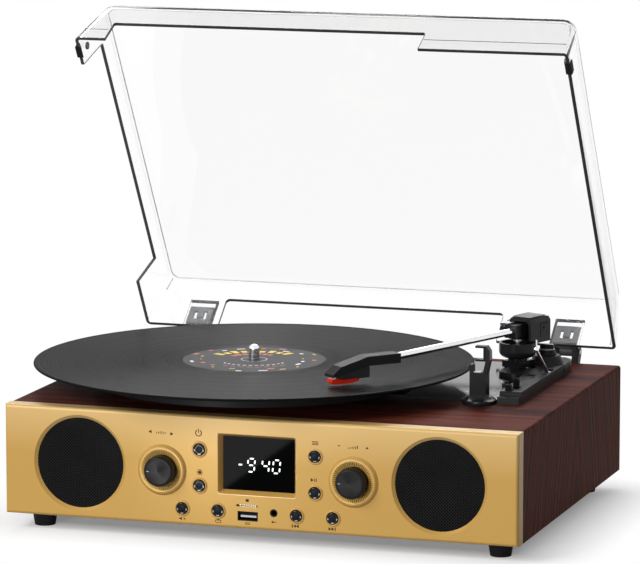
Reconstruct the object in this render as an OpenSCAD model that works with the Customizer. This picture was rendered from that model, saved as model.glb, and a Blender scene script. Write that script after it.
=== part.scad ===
// Stereo music centre: a record player with radio, display and two speakers in one cabinet.
// All lengths are millimetres. X runs along the front, Y runs to the back, Z runs up.

/* [Cabinet] */
// Width of the cabinet and its front panel
cab_w = 356.8; // [350:1:380]
// Depth from the panel's face to the cabinet's back
cab_d = 269; // [266:1:285]
// Height of the cabinet without its feet
cab_h = 74.4; // [74:0.5:84]
// Thickness of the wooden top, sides and back
board_t = 9; // [8:0.5:10]
// Radius of the wooden box's long upper edges
cab_edge_r = 2; // [1:0.5:3]
// Thickness of the bottom board
base_t = 5; // [4:0.5:6]
// Height of a foot
foot_h = 11.5; // [9:0.5:16]
// Radius of a foot where it meets the bottom board
foot_r = 8.5; // [7.5:0.5:9]
// Radius of the face that a foot stands on
foot_tip_r = 7; // [5.5:0.5:7.5]
// Distance of a foot's middle from the cabinet's side
foot_side = 18.5; // [18:0.5:24]
// Distance of a foot's middle from the cabinet's front and back
foot_end = 25; // [22:1:40]

/* [Front panel] */
// Depth of the panel moulding
panel_d = 11.4; // [10:0.2:13]
// Wall of the panel moulding
panel_t = 3; // [2.5:0.1:3.4]
// Radius of the panel's front edges
panel_edge_r = 2; // [1:0.25:2.5]
// Distance of a speaker's middle from the cabinet's middle
speaker_x = 125; // [122:0.5:132]
// Radius of a speaker opening at the panel's face
speaker_r = 32.6; // [30:0.2:33]
// Width of the bevel round a speaker opening
speaker_bevel = 2.1; // [1:0.1:3]
// Depth of that bevel
speaker_recess = 1.7; // [1:0.1:1.9]
// Distance of a knob's middle from the cabinet's middle
knob_x = 66.5; // [64:0.5:69]
// Height of the knobs above the cabinet's underside
knob_h = 36.3; // [34:0.5:40]
// Radius of a knob at its face
knob_r = 10.2; // [9:0.1:10.4]
// How far a knob stands out of the panel
knob_out = 8.6; // [6:0.2:12]
// Radius of the ring moulded round a knob
collar_r = 17.2; // [16.5:0.1:18]
// Height of that ring above the panel's face
collar_h = 2.2; // [1.4:0.1:3]
// Radius of a push button
button_r = 3.9; // [3.4:0.1:4.2]
// Travel of a push button
button_travel = 0.8; // [0.4:0.1:0.9]
// Height of the rim round a button
rim_h = 0.9; // [0.4:0.1:1.4]
// Width of the display opening
display_w = 54.5; // [48:0.5:56]
// Height of the display opening
display_h = 40.5; // [34:0.5:42]
// Bevel round the display
display_bevel = 2.1; // [1:0.1:3]
// Depth of the display's glass behind the face
display_recess = 5; // [4:0.25:6]

/* [Turntable] */
// Place of the spindle, measured from the cabinet's middle to the left
spindle_left = 41.8; // [38:0.2:46]
// Place of the spindle, measured from the cabinet's middle to the front
spindle_front = 17.2; // [12:0.2:20]
// Radius of the spindle's free end
spindle_r = 3.55; // [3.4:0.01:3.6]
// Height of the spindle above the record
spindle_out = 10.6; // [8:0.2:12]
// Radius of the record
record_r = 150.8; // [149:0.2:151]
// Thickness of the record
record_t = 1.8; // [1.4:0.1:2.4]
// Radius of the record's label
label_r = 50; // [45:1:52]
// Thickness of the mat under the record
mat_t = 1.2; // [0.8:0.1:2]
// Radius of the platter
platter_r = 109; // [105:0.5:112]
// Height of the platter
platter_t = 10.5; // [9:0.25:11]
// Gap under the platter, from the cabinet's top
platter_gap = 4.5; // [4:0.25:6]
// Radius of the ring that the belt drives
drive_r = 62; // [58:0.5:66]
// Radius of the motor pulley
pulley_r = 5.6; // [4.8:0.1:6.5]
// Thickness of the belt
belt_t = 0.8; // [0.6:0.1:1]
// Thickness of the deck plate above the cabinet's top
deck_t = 2.2; // [1.8:0.1:2.6]

/* [Tonearm] */
// Distance of the tonearm's swivel outside the record's edge
swivel_out = 33.37; // [32:0.01:36]
// Direction of the swivel from the spindle, turned from the right towards the back
swivel_turn = 27.2; // [26:0.1:29]
// Angle of the arm over the record, from straight forward
arm_angle = 21.3; // [18:0.1:24]
// Height of the arm's tube above the cabinet's top
arm_h = 33.2; // [32.8:0.1:33.6]
// Radius of the arm's tube
arm_r = 2.5; // [2:0.1:2.6]
// Length of the arm's tube from the swivel to the headshell
arm_l = 140.6; // [136:0.2:142]
// Angle between the headshell and the tube
head_angle = 20.7; // [16:0.1:24]
// Length of the headshell
head_l = 48.4; // [46:0.2:52]
// Width of the headshell
head_w = 11; // [10:0.2:13]
// Radius of the round cup under the arm
cup_r = 13; // [12.6:0.1:13.4]
// Distance of the arm's pivot behind the swivel
pivot_back = 15.5; // [14.5:0.25:16.5]
// Width of the arm's housing
housing_w = 19; // [18:0.25:21]
// Travel of the lift pin under the arm
lift_travel = 1.5; // [1:0.1:2]

/* [Lid] */
// Width of the lid
lid_w = 351; // [346:0.5:352]
// Depth of the lid
lid_d = 263.8; // [260:0.2:264]
// Height of the lid
lid_h = 45.5; // [45:0.25:52]
// Wall of the lid
lid_t = 2.5; // [2:0.1:3]
// How far the lid's walls lean in
lid_taper = 5.4; // [3:0.1:7]
// Angle of the open lid
lid_open = 57.7; // [50:0.1:65]
// Gap between the closed lid's rim and the cabinet
lid_gap = 1.2; // [1:0.1:2]
// Distance of a hinge's middle from the cabinet's middle
hinge_x = 137.2; // [134:0.5:140]
// Width of a hinge
hinge_w = 19.6; // [18:0.2:21]
// Height of the hinge pins above the cabinet's top
hinge_h = 6.7; // [6:0.1:8]
// Distance of the hinge pins behind the cabinet's back
hinge_out = 8.4; // [8:0.1:10]
// Radius of a hinge pin
hinge_pin_r = 1.5; // [1.2:0.1:1.7]

/* [Hidden] */
$fn = 64;

// Clearances
fit = 0.05;     // running fit of a shaft in its bore, on the radius
gap = 0.3;      // between pieces that move past each other
eps = 0.01;

// Levels and faces, with the cabinet's middle at x = 0 and y = 0
bottom_z = foot_h;
top_z = foot_h + cab_h;
face_y = -cab_d / 2;
back_y = cab_d / 2;
wood_y = face_y + panel_d;
side_x = cab_w / 2;
panel_back_y = face_y + panel_t;
mid_z = bottom_z + cab_h / 2;

// Spindle and everything stacked on it
spindle_x = -spindle_left;
spindle_y = -spindle_front;
platter_z = top_z + platter_gap;
mat_z = platter_z + platter_t;
record_z = mat_z + mat_t;
record_top_z = record_z + record_t;
spindle_top_z = record_top_z + spindle_out;

// The tonearm's swivel, a set distance outside the record's edge
swivel_x = spindle_x + (record_r + swivel_out) * cos(swivel_turn);
swivel_y = spindle_y + (record_r + swivel_out) * sin(swivel_turn);

// The frame's origin is the middle of the whole object's footprint, on the floor
lid_rear_y = back_y - 0.5;
pin_y = back_y + hinge_out;
pin_z = top_z + hinge_h;
lid_edge = 1.8;
lid_tail_y = pin_y + (lid_rear_y - lid_taper - lid_edge - pin_y) * cos(lid_open)
    + (lid_gap + lid_h - hinge_h) * sin(lid_open);
low_x = min(-side_x, spindle_x - record_r);
high_x = max(side_x, spindle_x + record_r);
low_y = min(face_y - knob_out, spindle_y - record_r);
high_y = max(pin_y, lid_tail_y);
origin_x = (low_x + high_x) / 2;
origin_y = (low_y + high_y) / 2;

// Buttons: across, and up from the cabinet's underside
button_col = 40.2;
button_low_in = 27.3;
button_low_out = 52.4;
button_top_h = 51.6;
button_mid_h = 27.2;
button_low_h = 11.1;
display_x = -0.25;
display_mid_h = 43;

// Boards behind the panel
pcb_t = 1.6;
pcb_y = wood_y + 2;
pcb_w = 156;
pcb_h = 56;
pcb_z = (bottom_z + base_t + top_z - board_t) / 2;

module placed() {
    translate([-origin_x, -origin_y, 0]) children();
}

// Shapes that repeat
module rounded_2d(w, h, r) {
    square([w - 2 * r, h], center = true);
    square([w, h - 2 * r], center = true);
    for (sx = [-1, 1], sy = [-1, 1])
        translate([sx * (w / 2 - r), sy * (h / 2 - r)]) circle(r = r);
}

module slab(w, d, h, r) {
    linear_extrude(height = h) rounded_2d(w, d, r);
}

// A disc or ring that lies in the panel's plane and reaches from y0 to y1
module along_y(x, z, y0, y1, r) {
    translate([x, y1, z]) rotate([90, 0, 0]) cylinder(r = r, h = y1 - y0);
}

module rod(a, b, r) {
    d = b - a;
    len = norm(d);
    translate(a)
        rotate([0, acos(d[2] / len), atan2(d[1], d[0])])
            cylinder(r = r, h = len, $fn = 32);
}

// Casing

// Places on the deck, taken from the spindle and the tonearm's swivel
motor_r = 16;
pulley_d = 84;
pulley_angle = 120;
pulley_x = spindle_x + pulley_d * cos(pulley_angle);
pulley_y = spindle_y + pulley_d * sin(pulley_angle);
rest_side = 1.6;
rest_front = 102;
base_side = 14;
cone_side = 16;
cone_rear = 18;
rest_x = swivel_x + rest_side;
rest_y = swivel_y - rest_front;
rest_r = 11.3;
base_x = swivel_x + base_side;
knob_cx = swivel_x + cone_side;
knob_cy = swivel_y + cone_rear;
deck_lip = 7;
deck_skirt = 6;
skirt_t = 2.5;
deck_r = 6;
deck_x0 = pulley_x - motor_r - deck_lip - 10.7;
deck_x1 = base_x + 0.5;
deck_y0 = min(rest_y + 2, spindle_y - 15.8);
deck_y1 = knob_cy + 27;
deck_w = deck_x1 - deck_x0;
deck_d = deck_y1 - deck_y0;
deck_x = (deck_x0 + deck_x1) / 2;
deck_y = (deck_y0 + deck_y1) / 2;
rear_plate_w = 96;
rear_plate_h = 30;
rear_plate_x = -20;
rear_plate_z = bottom_z + 34;
rear_lip = 4;
bush_out_r = 7;
bush_flange_r = 11;
bush_low = 14;

module cabinet() {
    wood_d = back_y - wood_y;
    color("#4a1f1a") difference() {
        translate([0, back_y, 0]) rotate([90, 0, 0]) linear_extrude(height = wood_d)
            difference() {
                union() {
                    translate([-side_x, bottom_z]) square([cab_w, cab_h - cab_edge_r]);
                    translate([-side_x + cab_edge_r, bottom_z])
                        square([cab_w - 2 * cab_edge_r, cab_h]);
                    for (s = [-1, 1]) translate([s * (side_x - cab_edge_r), top_z - cab_edge_r])
                        circle(r = cab_edge_r);
                }
            }
        translate([-side_x + board_t, wood_y - 1, bottom_z - 1])
            cube([cab_w - 2 * board_t, wood_d - board_t + 1, cab_h - board_t + 1]);
        translate([deck_x, deck_y, top_z - board_t - 1])
            slab(deck_w - 2 * deck_lip, deck_d - 2 * deck_lip, board_t + 2, deck_r);
        translate([spindle_x, spindle_y, top_z - board_t - 1])
            cylinder(r = bush_flange_r + gap, h = board_t + 2);
        translate([rear_plate_x, back_y + 1, rear_plate_z]) rotate([90, 0, 0])
            slab(rear_plate_w - 2 * rear_lip, rear_plate_h - 2 * rear_lip, board_t + 2, 2);
    }
}

foot_points = [for (sx = [-1, 1], ey = [face_y + foot_end, back_y - foot_end])
    [sx * (side_x - foot_side), ey]];
foot_screw_r = 2;
foot_screw_l = 4;

module base_board() {
    color("#2b2420") difference() {
        translate([-side_x + board_t + gap, wood_y, bottom_z])
            cube([cab_w - 2 * (board_t + gap), back_y - board_t - gap - wood_y, base_t]);
        for (p = foot_points) translate([p[0], p[1], bottom_z - 1])
            cylinder(r = foot_screw_r, h = foot_screw_l + 1);
        for (i = [-4:4]) translate([i * 12 - 1.5, 20, bottom_z - 1]) cube([3, 40, base_t + 2]);
    }
}

module feet() {
    waist = 2.5;
    color("#15151a") for (p = foot_points) translate([p[0], p[1], 0]) {
        cylinder(r1 = foot_tip_r, r2 = foot_r, h = foot_h - waist);
        translate([0, 0, foot_h - waist]) cylinder(r = foot_r, h = waist);
        translate([0, 0, foot_h - eps]) cylinder(r = foot_screw_r - fit, h = foot_screw_l - gap);
    }
}

// Front panel

grille_r = speaker_r - speaker_bevel + 1.4;
grille_t = 0.8;
mesh_pitch = 4.6;
mesh_hole = 2.9;
boss_r = 3;
boss_x = pcb_w / 2 - 4;
boss_z = pcb_h / 2 - 4;
display_z = bottom_z + display_mid_h;
usb_x = -6.6;
usb_z = bottom_z + 8.6;
usb_w = 14.2;
usb_h = 6.4;
card_x = -7.1;
card_z = bottom_z + 15.6;
card_w = 14.8;
card_h = 1.4;
aux_x = 11.5;
aux_z = bottom_z + 11.9;
aux_r = 1.8;
aux_nose_r = 2.6;
knob_z = bottom_z + knob_h;
rim_w = 0.9;
hole_gap = 0.3;
ridge_r = collar_r - 2.5;
dish_r = knob_r + 1.1;
dish_floor = 0.6;
dish_open_r = 8;
button_places = [
    [-button_col, bottom_z + button_top_h],
    [-button_col, bottom_z + button_mid_h],
    [-button_low_out, bottom_z + button_low_h],
    [-button_low_in, bottom_z + button_low_h],
    [button_col, bottom_z + button_top_h],
    [button_col, bottom_z + button_mid_h],
    [button_low_in, bottom_z + button_low_h],
    [button_low_out, bottom_z + button_low_h]
];

module panel_body() {
    r = panel_edge_r;
    intersection() {
        translate([-side_x, 0, 0]) rotate([90, 0, 90]) linear_extrude(height = cab_w) {
            translate([face_y, bottom_z + r]) square([panel_d, cab_h - 2 * r]);
            translate([face_y + r, bottom_z]) square([panel_d - r, cab_h]);
            for (z = [bottom_z + r, top_z - r]) translate([face_y + r, z]) circle(r = r);
        }
        translate([0, 0, bottom_z]) linear_extrude(height = cab_h) {
            translate([-side_x, face_y + r]) square([cab_w, panel_d - r]);
            translate([-side_x + r, face_y]) square([cab_w - 2 * r, panel_d]);
            for (s = [-1, 1]) translate([s * (side_x - r), face_y + r]) circle(r = r);
        }
    }
}

module knob_collar() {
    bead = 0.9;
    rotate([90, 0, 0]) rotate_extrude($fn = 96) union() {
        polygon([
            [dish_r, -panel_t], [collar_r, -eps], [collar_r, 0.1],
            [ridge_r + bead, collar_h - bead * 0.3], [ridge_r - bead, collar_h - bead * 0.3],
            [dish_r, -dish_floor]
        ]);
        translate([ridge_r, collar_h - bead]) circle(r = bead, $fn = 32);
    }
}

module button_rim() {
    r_in = button_r + hole_gap;
    rotate([90, 0, 0]) rotate_extrude($fn = 48) union() {
        translate([r_in, -eps]) square([rim_w, rim_h - rim_w / 2]);
        translate([r_in + rim_w / 2, rim_h - rim_w / 2]) circle(r = rim_w / 2, $fn = 32);
    }
}

module display_cut(grow, y0, y1) {
    translate([display_x, y1, display_z]) rotate([90, 0, 0])
        linear_extrude(height = y1 - y0)
            rounded_2d(display_w + 2 * grow, display_h + 2 * grow, 2);
}

// The display's bevel: two prisms that narrow to the back, crossed
module display_funnel() {
    w0 = display_w / 2;
    h0 = display_h / 2;
    w1 = w0 - display_bevel;
    h1 = h0 - display_bevel;
    d = display_recess;
    translate([display_x, face_y, display_z]) intersection() {
        translate([0, 0, -h0 - 1]) linear_extrude(height = 2 * h0 + 2)
            polygon([[-w0, -eps], [w0, -eps], [w1, d], [-w1, d]]);
        translate([-w0 - 1, 0, 0]) rotate([90, 0, 90]) linear_extrude(height = 2 * w0 + 2)
            polygon([[-eps, -h0], [d, -h1], [d, h1], [-eps, h0]]);
    }
}

frame_wall = 2.5;
window_t = 1.5;

module front_panel() {
    inner_d = panel_d - panel_t;
    frame_w = display_w + 2 * frame_wall;
    frame_h = display_h + 2 * frame_wall - 3;
    color("#cda353") difference() {
        union() {
            difference() {
                panel_body();
                translate([-side_x + panel_t, panel_back_y, bottom_z + panel_t])
                    cube([cab_w - 2 * panel_t, inner_d + 1, cab_h - 2 * panel_t]);
            }
            translate([display_x - frame_w / 2, panel_back_y - eps, display_z - frame_h / 2])
                cube([frame_w, display_recess + window_t - panel_t, frame_h]);
            for (s = [-1, 1]) translate([s * knob_x, face_y, knob_z]) knob_collar();
            for (p = button_places) translate([p[0], face_y, p[1]]) button_rim();
            for (sx = [-1, 1], sz = [-1, 1])
                along_y(sx * boss_x, pcb_z + sz * boss_z, panel_back_y - eps, pcb_y, boss_r);
        }
        for (s = [-1, 1]) {
            translate([s * speaker_x, face_y - eps, mid_z]) rotate([-90, 0, 0])
                cylinder(r1 = speaker_r, r2 = speaker_r - speaker_bevel,
                    h = speaker_recess + eps, $fn = 128);
            along_y(s * speaker_x, mid_z, face_y + speaker_recess - eps, panel_back_y + 1,
                speaker_r - speaker_bevel, $fn = 128);
            along_y(s * speaker_x, mid_z, face_y + speaker_recess, panel_back_y + 1,
                grille_r + 0.1, $fn = 128);
            along_y(s * knob_x, knob_z, face_y + dish_floor, face_y + 1 + dish_floor, dish_r);
            along_y(s * knob_x, knob_z, face_y - collar_h - 1, face_y + dish_floor + eps, dish_r);
            along_y(s * knob_x, knob_z, face_y, panel_back_y + 1, dish_open_r);
        }
        for (p = button_places)
            along_y(p[0], p[1], face_y - 1, panel_back_y + 1, button_r + hole_gap);
        display_funnel();
        display_cut(-display_bevel + 1.2, face_y + display_recess, face_y + display_recess + 3);
        translate([usb_x - usb_w / 2, face_y - 1, usb_z - usb_h / 2])
            cube([usb_w, panel_t + 2, usb_h]);
        translate([card_x - card_w / 2, face_y - 1, card_z - card_h / 2])
            cube([card_w, panel_t + 2, card_h]);
        along_y(aux_x, aux_z, face_y - 1, panel_back_y + 1, aux_nose_r + 0.1);
    }
}

// Behind the panel

module grille(sx) {
    n = ceil(grille_r / mesh_pitch);
    step = mesh_pitch;
    translate([sx * speaker_x, face_y + speaker_recess + grille_t, mid_z]) rotate([90, 0, 0])
        linear_extrude(height = grille_t) difference() {
            circle(r = grille_r, $fn = 96);
            for (i = [-n:n], j = [-n:n])
                if (norm([i, j]) * step < grille_r - 2.4)
                    translate([i * step, j * step]) rotate(45) square(mesh_hole, center = true);
        }
    translate([sx * speaker_x, face_y + speaker_recess + grille_t - eps, mid_z])
        rotate([-90, 0, 0]) difference() {
            cylinder(r = grille_r, h = panel_t - speaker_recess - grille_t + eps, $fn = 96);
            translate([0, 0, -1]) cylinder(r = grille_r - 1.2, h = panel_t, $fn = 96);
        }
}

module grille_left() {
    color("#242426") grille(-1);
}

module grille_right() {
    color("#242426") grille(1);
}

flange_r = min(cab_h / 2 - panel_t - 0.6, grille_r + 1.8);
flange_t = 2;
cone_l = 17;
cone_r = 18;
magnet_l = 10;
magnet_r = 21;

module speaker(sx) {
    mouth_r = flange_r - 3.5;
    basket_r = 28;
    translate([sx * speaker_x, panel_back_y, mid_z]) rotate([-90, 0, 0]) difference() {
        union() {
            cylinder(r = flange_r, h = flange_t, $fn = 96);
            translate([0, 0, flange_t - eps]) cylinder(r1 = basket_r, r2 = cone_r, h = cone_l);
            translate([0, 0, flange_t + cone_l - 2 * eps]) cylinder(r = magnet_r, h = magnet_l);
        }
        translate([0, 0, -eps]) cylinder(r = mouth_r, h = 1.2, $fn = 96);
        translate([0, 0, 1]) cylinder(r1 = basket_r - 3, r2 = 8, h = cone_l - 4);
    }
}

module speaker_left() {
    color("#1d1d1f") speaker(-1);
}

module speaker_right() {
    color("#1d1d1f") speaker(1);
}

window_gap = 0.1;
window_w = display_w - 2 * display_bevel + 2.4 - 2 * window_gap;
window_h = display_h - 2 * display_bevel + 2.4 - 2 * window_gap;
lcd_y = face_y + display_recess + window_t + 0.2;

module display_window() {
    color("#20262b", 0.6) translate([display_x, face_y + display_recess + window_t, display_z])
        rotate([90, 0, 0]) linear_extrude(height = window_t)
            rounded_2d(window_w, window_h, 2);
}

module display_board() {
    color("#39424a") translate([display_x - window_w / 2, lcd_y, display_z - window_h / 2])
        cube([window_w, pcb_y - lcd_y - 0.1, window_h]);
}

switch_w = 6;
switch_t = 3.5;

module control_board() {
    color("#2f6a45") difference() {
        union() {
            translate([-pcb_w / 2, pcb_y, pcb_z - pcb_h / 2]) cube([pcb_w, pcb_t, pcb_h]);
            for (p = button_places)
                translate([p[0] - switch_w / 2, pcb_y - switch_t, p[1] - switch_w / 2])
                    cube([switch_w, switch_t + eps, switch_w]);
            translate([-60, pcb_y + pcb_t - eps, pcb_z - 8]) cube([22, 2.5, 16]);
            translate([20, pcb_y + pcb_t - eps, pcb_z - 6]) cube([30, 6, 8]);
        }
        for (sx = [-1, 1], sz = [-1, 1])
            along_y(sx * boss_x, pcb_z + sz * boss_z, pcb_y - 1, pcb_y + pcb_t + 1, 1.5);
    }
}

shaft_r = 3;
pot_w = 17;
pot_d = 7;
bush_r = 5;
knob_back_y = face_y + 0.3;

module rotary_control(sx) {
    difference() {
        union() {
            translate([sx * knob_x - pot_w / 2, pcb_y - pot_d, knob_z - pot_w / 2])
                cube([pot_w, pot_d, pot_w]);
            along_y(sx * knob_x, knob_z, face_y + 2, pcb_y - pot_d + eps, bush_r);
        }
        along_y(sx * knob_x, knob_z, face_y + 1, pcb_y - 1.5, shaft_r + fit);
    }
}

module tune_encoder() {
    color("#8d9094") rotary_control(-1);
}

module volume_control() {
    color("#8d9094") rotary_control(1);
}

module knob() {
    cap_edge = 1.2;
    rotate([90, 0, 0]) {
        rotate_extrude($fn = 96) union() {
            translate([0, -knob_back_y + face_y])
                square([knob_r, knob_out - cap_edge + knob_back_y - face_y]);
            square([knob_r - cap_edge, knob_out]);
            translate([knob_r - cap_edge, knob_out - cap_edge]) circle(r = cap_edge, $fn = 32);
        }
        translate([0, 0, -(pcb_y - face_y - 2)])
            cylinder(r = shaft_r, h = pcb_y - face_y - 2 + 1);
        translate([-knob_r + 1.6, -0.5, knob_out - eps]) cube([4.4, 1, 0.35]);
    }
}

module tune_knob() {
    color("#3b3b3d") translate([-knob_x, face_y, knob_z]) knob();
}

module volume_knob() {
    color("#3b3b3d") translate([knob_x, face_y, knob_z]) knob();
}

button_out = 1.3;
button_flange_r = button_r + 1.2;
button_flange_t = 1.4;
stem_r = 1.8;

module button(i) {
    p = button_places[i];
    dome = 0.8;
    stem_back = pcb_y - switch_t - button_travel - 0.1;
    translate([p[0], face_y, p[1]]) rotate([90, 0, 0]) rotate_extrude($fn = 64) union() {
        translate([0, -(panel_t + gap + button_flange_t)])
            square([button_flange_r, button_flange_t]);
        translate([0, -(panel_t + gap + eps)])
            square([button_r, panel_t + gap + eps + button_out - dome]);
        translate([0, button_out - dome - eps]) square([button_r - dome, dome + eps]);
        translate([button_r - dome, button_out - dome]) circle(r = dome, $fn = 32);
        translate([0, face_y - stem_back]) square([stem_r, stem_back - face_y - panel_t - 1]);
    }
}

module power_button() {
    color("#2a201c") button(0);
}

module record_button() {
    color("#2a201c") button(1);
}

module mode_button() {
    color("#2a201c") button(4);
}

module repeat_button() {
    color("#2a201c") button(3);
}

module mute_button() {
    color("#2a201c") button(2);
}

module play_button() {
    color("#2a201c") button(5);
}

module previous_button() {
    color("#2a201c") button(6);
}

module next_button() {
    color("#2a201c") button(7);
}

port_y = face_y + 0.8;
port_wall = 0.5;

module usb_port() {
    w = usb_w - 0.4;
    h = usb_h - 0.4;
    color("#b9bcc0") difference() {
        translate([usb_x - w / 2, port_y, usb_z - h / 2]) cube([w, pcb_y - port_y, h]);
        translate([usb_x - w / 2 + port_wall, port_y - 1, usb_z - h / 2 + port_wall])
            cube([w - 2 * port_wall, pcb_y - port_y - 1, h - 2 * port_wall]);
    }
    color("#e8e8e8") translate([usb_x - w / 2 + 1.2, port_y + 1, usb_z + 0.6])
        cube([w - 2.4, pcb_y - port_y - 1.5, 1.6]);
}

module card_socket() {
    back = port_y + 3;
    color("#b9bcc0") difference() {
        translate([card_x - card_w / 2, panel_back_y, card_z - 2])
            cube([card_w, pcb_y - panel_back_y, 4]);
        translate([card_x - card_w / 2 + 1, panel_back_y - 1, card_z - card_h / 2])
            cube([card_w - 2, back - panel_back_y + 8, card_h]);
    }
}

module aux_jack() {
    body = 8;
    color("#25262a") difference() {
        union() {
            along_y(aux_x, aux_z, face_y + 0.4, pcb_y, aux_nose_r);
            translate([aux_x - body / 2, panel_back_y, aux_z - body / 2])
                cube([body, pcb_y - panel_back_y, body]);
        }
        along_y(aux_x, aux_z, face_y - 1, pcb_y - 0.8, aux_r);
    }
}

// Inside and back of the cabinet

amp_w = 150;
amp_d = 62;
amp_x = -20;
amp_y = 88;
amp_z = bottom_z + base_t + 5;

module amplifier_board() {
    color("#2f6a45") {
        translate([amp_x - amp_w / 2, amp_y - amp_d / 2, amp_z]) cube([amp_w, amp_d, pcb_t]);
        for (sx = [-1, 1], sy = [-1, 1])
            translate([amp_x + sx * (amp_w / 2 - 5), amp_y + sy * (amp_d / 2 - 5), amp_z - 5])
                cylinder(r = 3, h = 5 + eps);
        translate([amp_x - 60, amp_y - 20, amp_z + pcb_t - eps]) cube([34, 26, 20]);
        for (i = [0:2]) translate([amp_x + i * 18, amp_y - 14, amp_z + pcb_t - eps])
            cylinder(r = 6, h = 16);
        translate([amp_x + 50, amp_y - 24, amp_z + pcb_t - eps]) cube([4, 44, 20]);
        for (i = [0:4]) translate([amp_x + 50, amp_y - 24 + i * 10, amp_z + pcb_t - eps])
            cube([14, 2, 20]);
    }
}

plate_t = 1.5;
dc_x = rear_plate_x - 34;
rca_x = rear_plate_x + 22;
rca_gap = 16;
dc_r = 4.2;
dc_bore = 2.8;
rca_r = 4.1;
rca_neck_r = 3.4;
rca_out = 8;
jack_back = board_t + 3;

module rear_plate() {
    color("#1b1b1d") difference() {
        translate([rear_plate_x, back_y + plate_t, rear_plate_z]) rotate([90, 0, 0])
            slab(rear_plate_w, rear_plate_h, plate_t, 3);
        along_y(dc_x, rear_plate_z, back_y - 1, back_y + plate_t + 1, dc_r + fit);
        for (i = [0, 1])
            along_y(rca_x + i * rca_gap, rear_plate_z, back_y - 1, back_y + plate_t + 1,
                rca_neck_r + fit);
        for (s = [-1, 1])
            along_y(rear_plate_x + s * (rear_plate_w / 2 - 2.2), rear_plate_z,
                back_y - 1, back_y + plate_t + 1, 1);
    }
}

module dc_inlet() {
    pin = 1;
    color("#26262a") {
        difference() {
            union() {
                along_y(dc_x, rear_plate_z, back_y - jack_back, back_y + plate_t, dc_r);
                translate([dc_x - 5.5, back_y - jack_back, rear_plate_z - 5.5])
                    cube([11, jack_back, 11]);
            }
            along_y(dc_x, rear_plate_z, back_y - jack_back + 2, back_y + plate_t + 1, dc_bore);
        }
        along_y(dc_x, rear_plate_z, back_y - jack_back + 1, back_y - 1, pin);
    }
}

module rca_jacks() {
    w = rca_gap + 12;
    color("#c9ccd0") difference() {
        union() {
            translate([rca_x - 6, back_y - jack_back, rear_plate_z - 6])
                cube([w, jack_back, 12]);
            for (i = [0, 1]) {
                along_y(rca_x + i * rca_gap, rear_plate_z, back_y - 1,
                    back_y + plate_t + gap + eps, rca_neck_r);
                along_y(rca_x + i * rca_gap, rear_plate_z, back_y + plate_t + gap,
                    back_y + plate_t + rca_out, rca_r);
            }
        }
        for (i = [0, 1])
            along_y(rca_x + i * rca_gap, rear_plate_z, back_y - jack_back + 2,
                back_y + plate_t + rca_out + 1, 1.6);
    }
}

// Turntable

module deck_plate() {
    color("#151516") difference() {
        union() {
            translate([deck_x, deck_y, top_z]) slab(deck_w, deck_d, deck_t, deck_r);
            translate([deck_x, deck_y, top_z - deck_skirt]) linear_extrude(height = deck_skirt + eps)
                difference() {
                    rounded_2d(deck_w - 2 * deck_lip - 2 * gap, deck_d - 2 * deck_lip - 2 * gap,
                        deck_r - gap);
                    rounded_2d(deck_w - 2 * deck_lip - 2 * skirt_t, deck_d - 2 * deck_lip
                        - 2 * skirt_t, deck_r - skirt_t);
                }
        }
        translate([spindle_x, spindle_y, top_z - 1]) cylinder(r = bush_out_r + fit, h = deck_t + 2);
        translate([spindle_x, spindle_y, top_z - deck_skirt - 1])
            cylinder(r = bush_flange_r + gap, h = deck_skirt + 1);
        translate([pulley_x, pulley_y, top_z - 1]) cylinder(r = 4, h = deck_t + 2);
        translate([swivel_x, swivel_y, top_z - 1]) cylinder(r = 5, h = deck_t + 2);
        translate([rest_x, rest_y, top_z - 1]) cylinder(r = rest_r + gap, h = deck_t + 2);
        translate([base_x - gap, deck_y - deck_d, top_z - 1]) cube([40, 2 * deck_d, deck_t + 2]);
    }
}

module bearing_bush() {
    flange = 2;
    color("#b08d57") translate([spindle_x, spindle_y, 0]) difference() {
        union() {
            translate([0, 0, top_z - bush_low]) cylinder(r = bush_out_r, h = bush_low + platter_gap
                - gap);
            translate([0, 0, top_z - flange]) cylinder(r = bush_flange_r, h = flange);
        }
        translate([0, 0, top_z - bush_low - 1]) cylinder(r = spindle_r + fit, h = 30);
    }
}

module spindle() {
    dome = spindle_r * 0.8;
    low = top_z - bush_low - 2;
    color("#d8dade") translate([spindle_x, spindle_y, 0]) {
        translate([0, 0, low]) cylinder(r = spindle_r, h = spindle_top_z - dome - low);
        translate([0, 0, spindle_top_z - dome - eps]) rotate_extrude() intersection() {
            scale([1, dome / spindle_r]) circle(r = spindle_r);
            square([spindle_r, spindle_r]);
        }
        translate([0, 0, low - 1.4]) cylinder(r = spindle_r + 2.5, h = 1.4 + eps);
    }
}

motor_l = 25;
motor_gap = 3;
shaft_pulley_r = 1.5;
belt_z = top_z + 6;
belt_h = 4;

module motor() {
    color("#9a9da1") translate([pulley_x, pulley_y, 0]) difference() {
        union() {
            translate([0, 0, top_z - motor_gap - motor_l]) cylinder(r = motor_r, h = motor_l);
            translate([0, 0, top_z - motor_gap - eps]) cylinder(r = motor_r - 3, h = motor_gap
                + eps);
        }
        translate([0, 0, top_z - 12]) cylinder(r = shaft_pulley_r + fit, h = 14);
    }
}

module motor_pulley() {
    lip = 0.7;
    color("#c9a55a") translate([pulley_x, pulley_y, 0]) {
        translate([0, 0, top_z - 11.5]) cylinder(r = shaft_pulley_r, h = 12 + deck_t + 4);
        translate([0, 0, belt_z - 1.2]) cylinder(r = pulley_r + lip, h = 0.8);
        translate([0, 0, belt_z - 1.2]) cylinder(r = pulley_r, h = belt_h + 1.8);
    }
}

module belt_2d(grow) {
    hull() {
        circle(r = drive_r + 0.15 + grow, $fn = 128);
        translate([pulley_d, 0]) circle(r = pulley_r + 0.15 + grow);
    }
}

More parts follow.
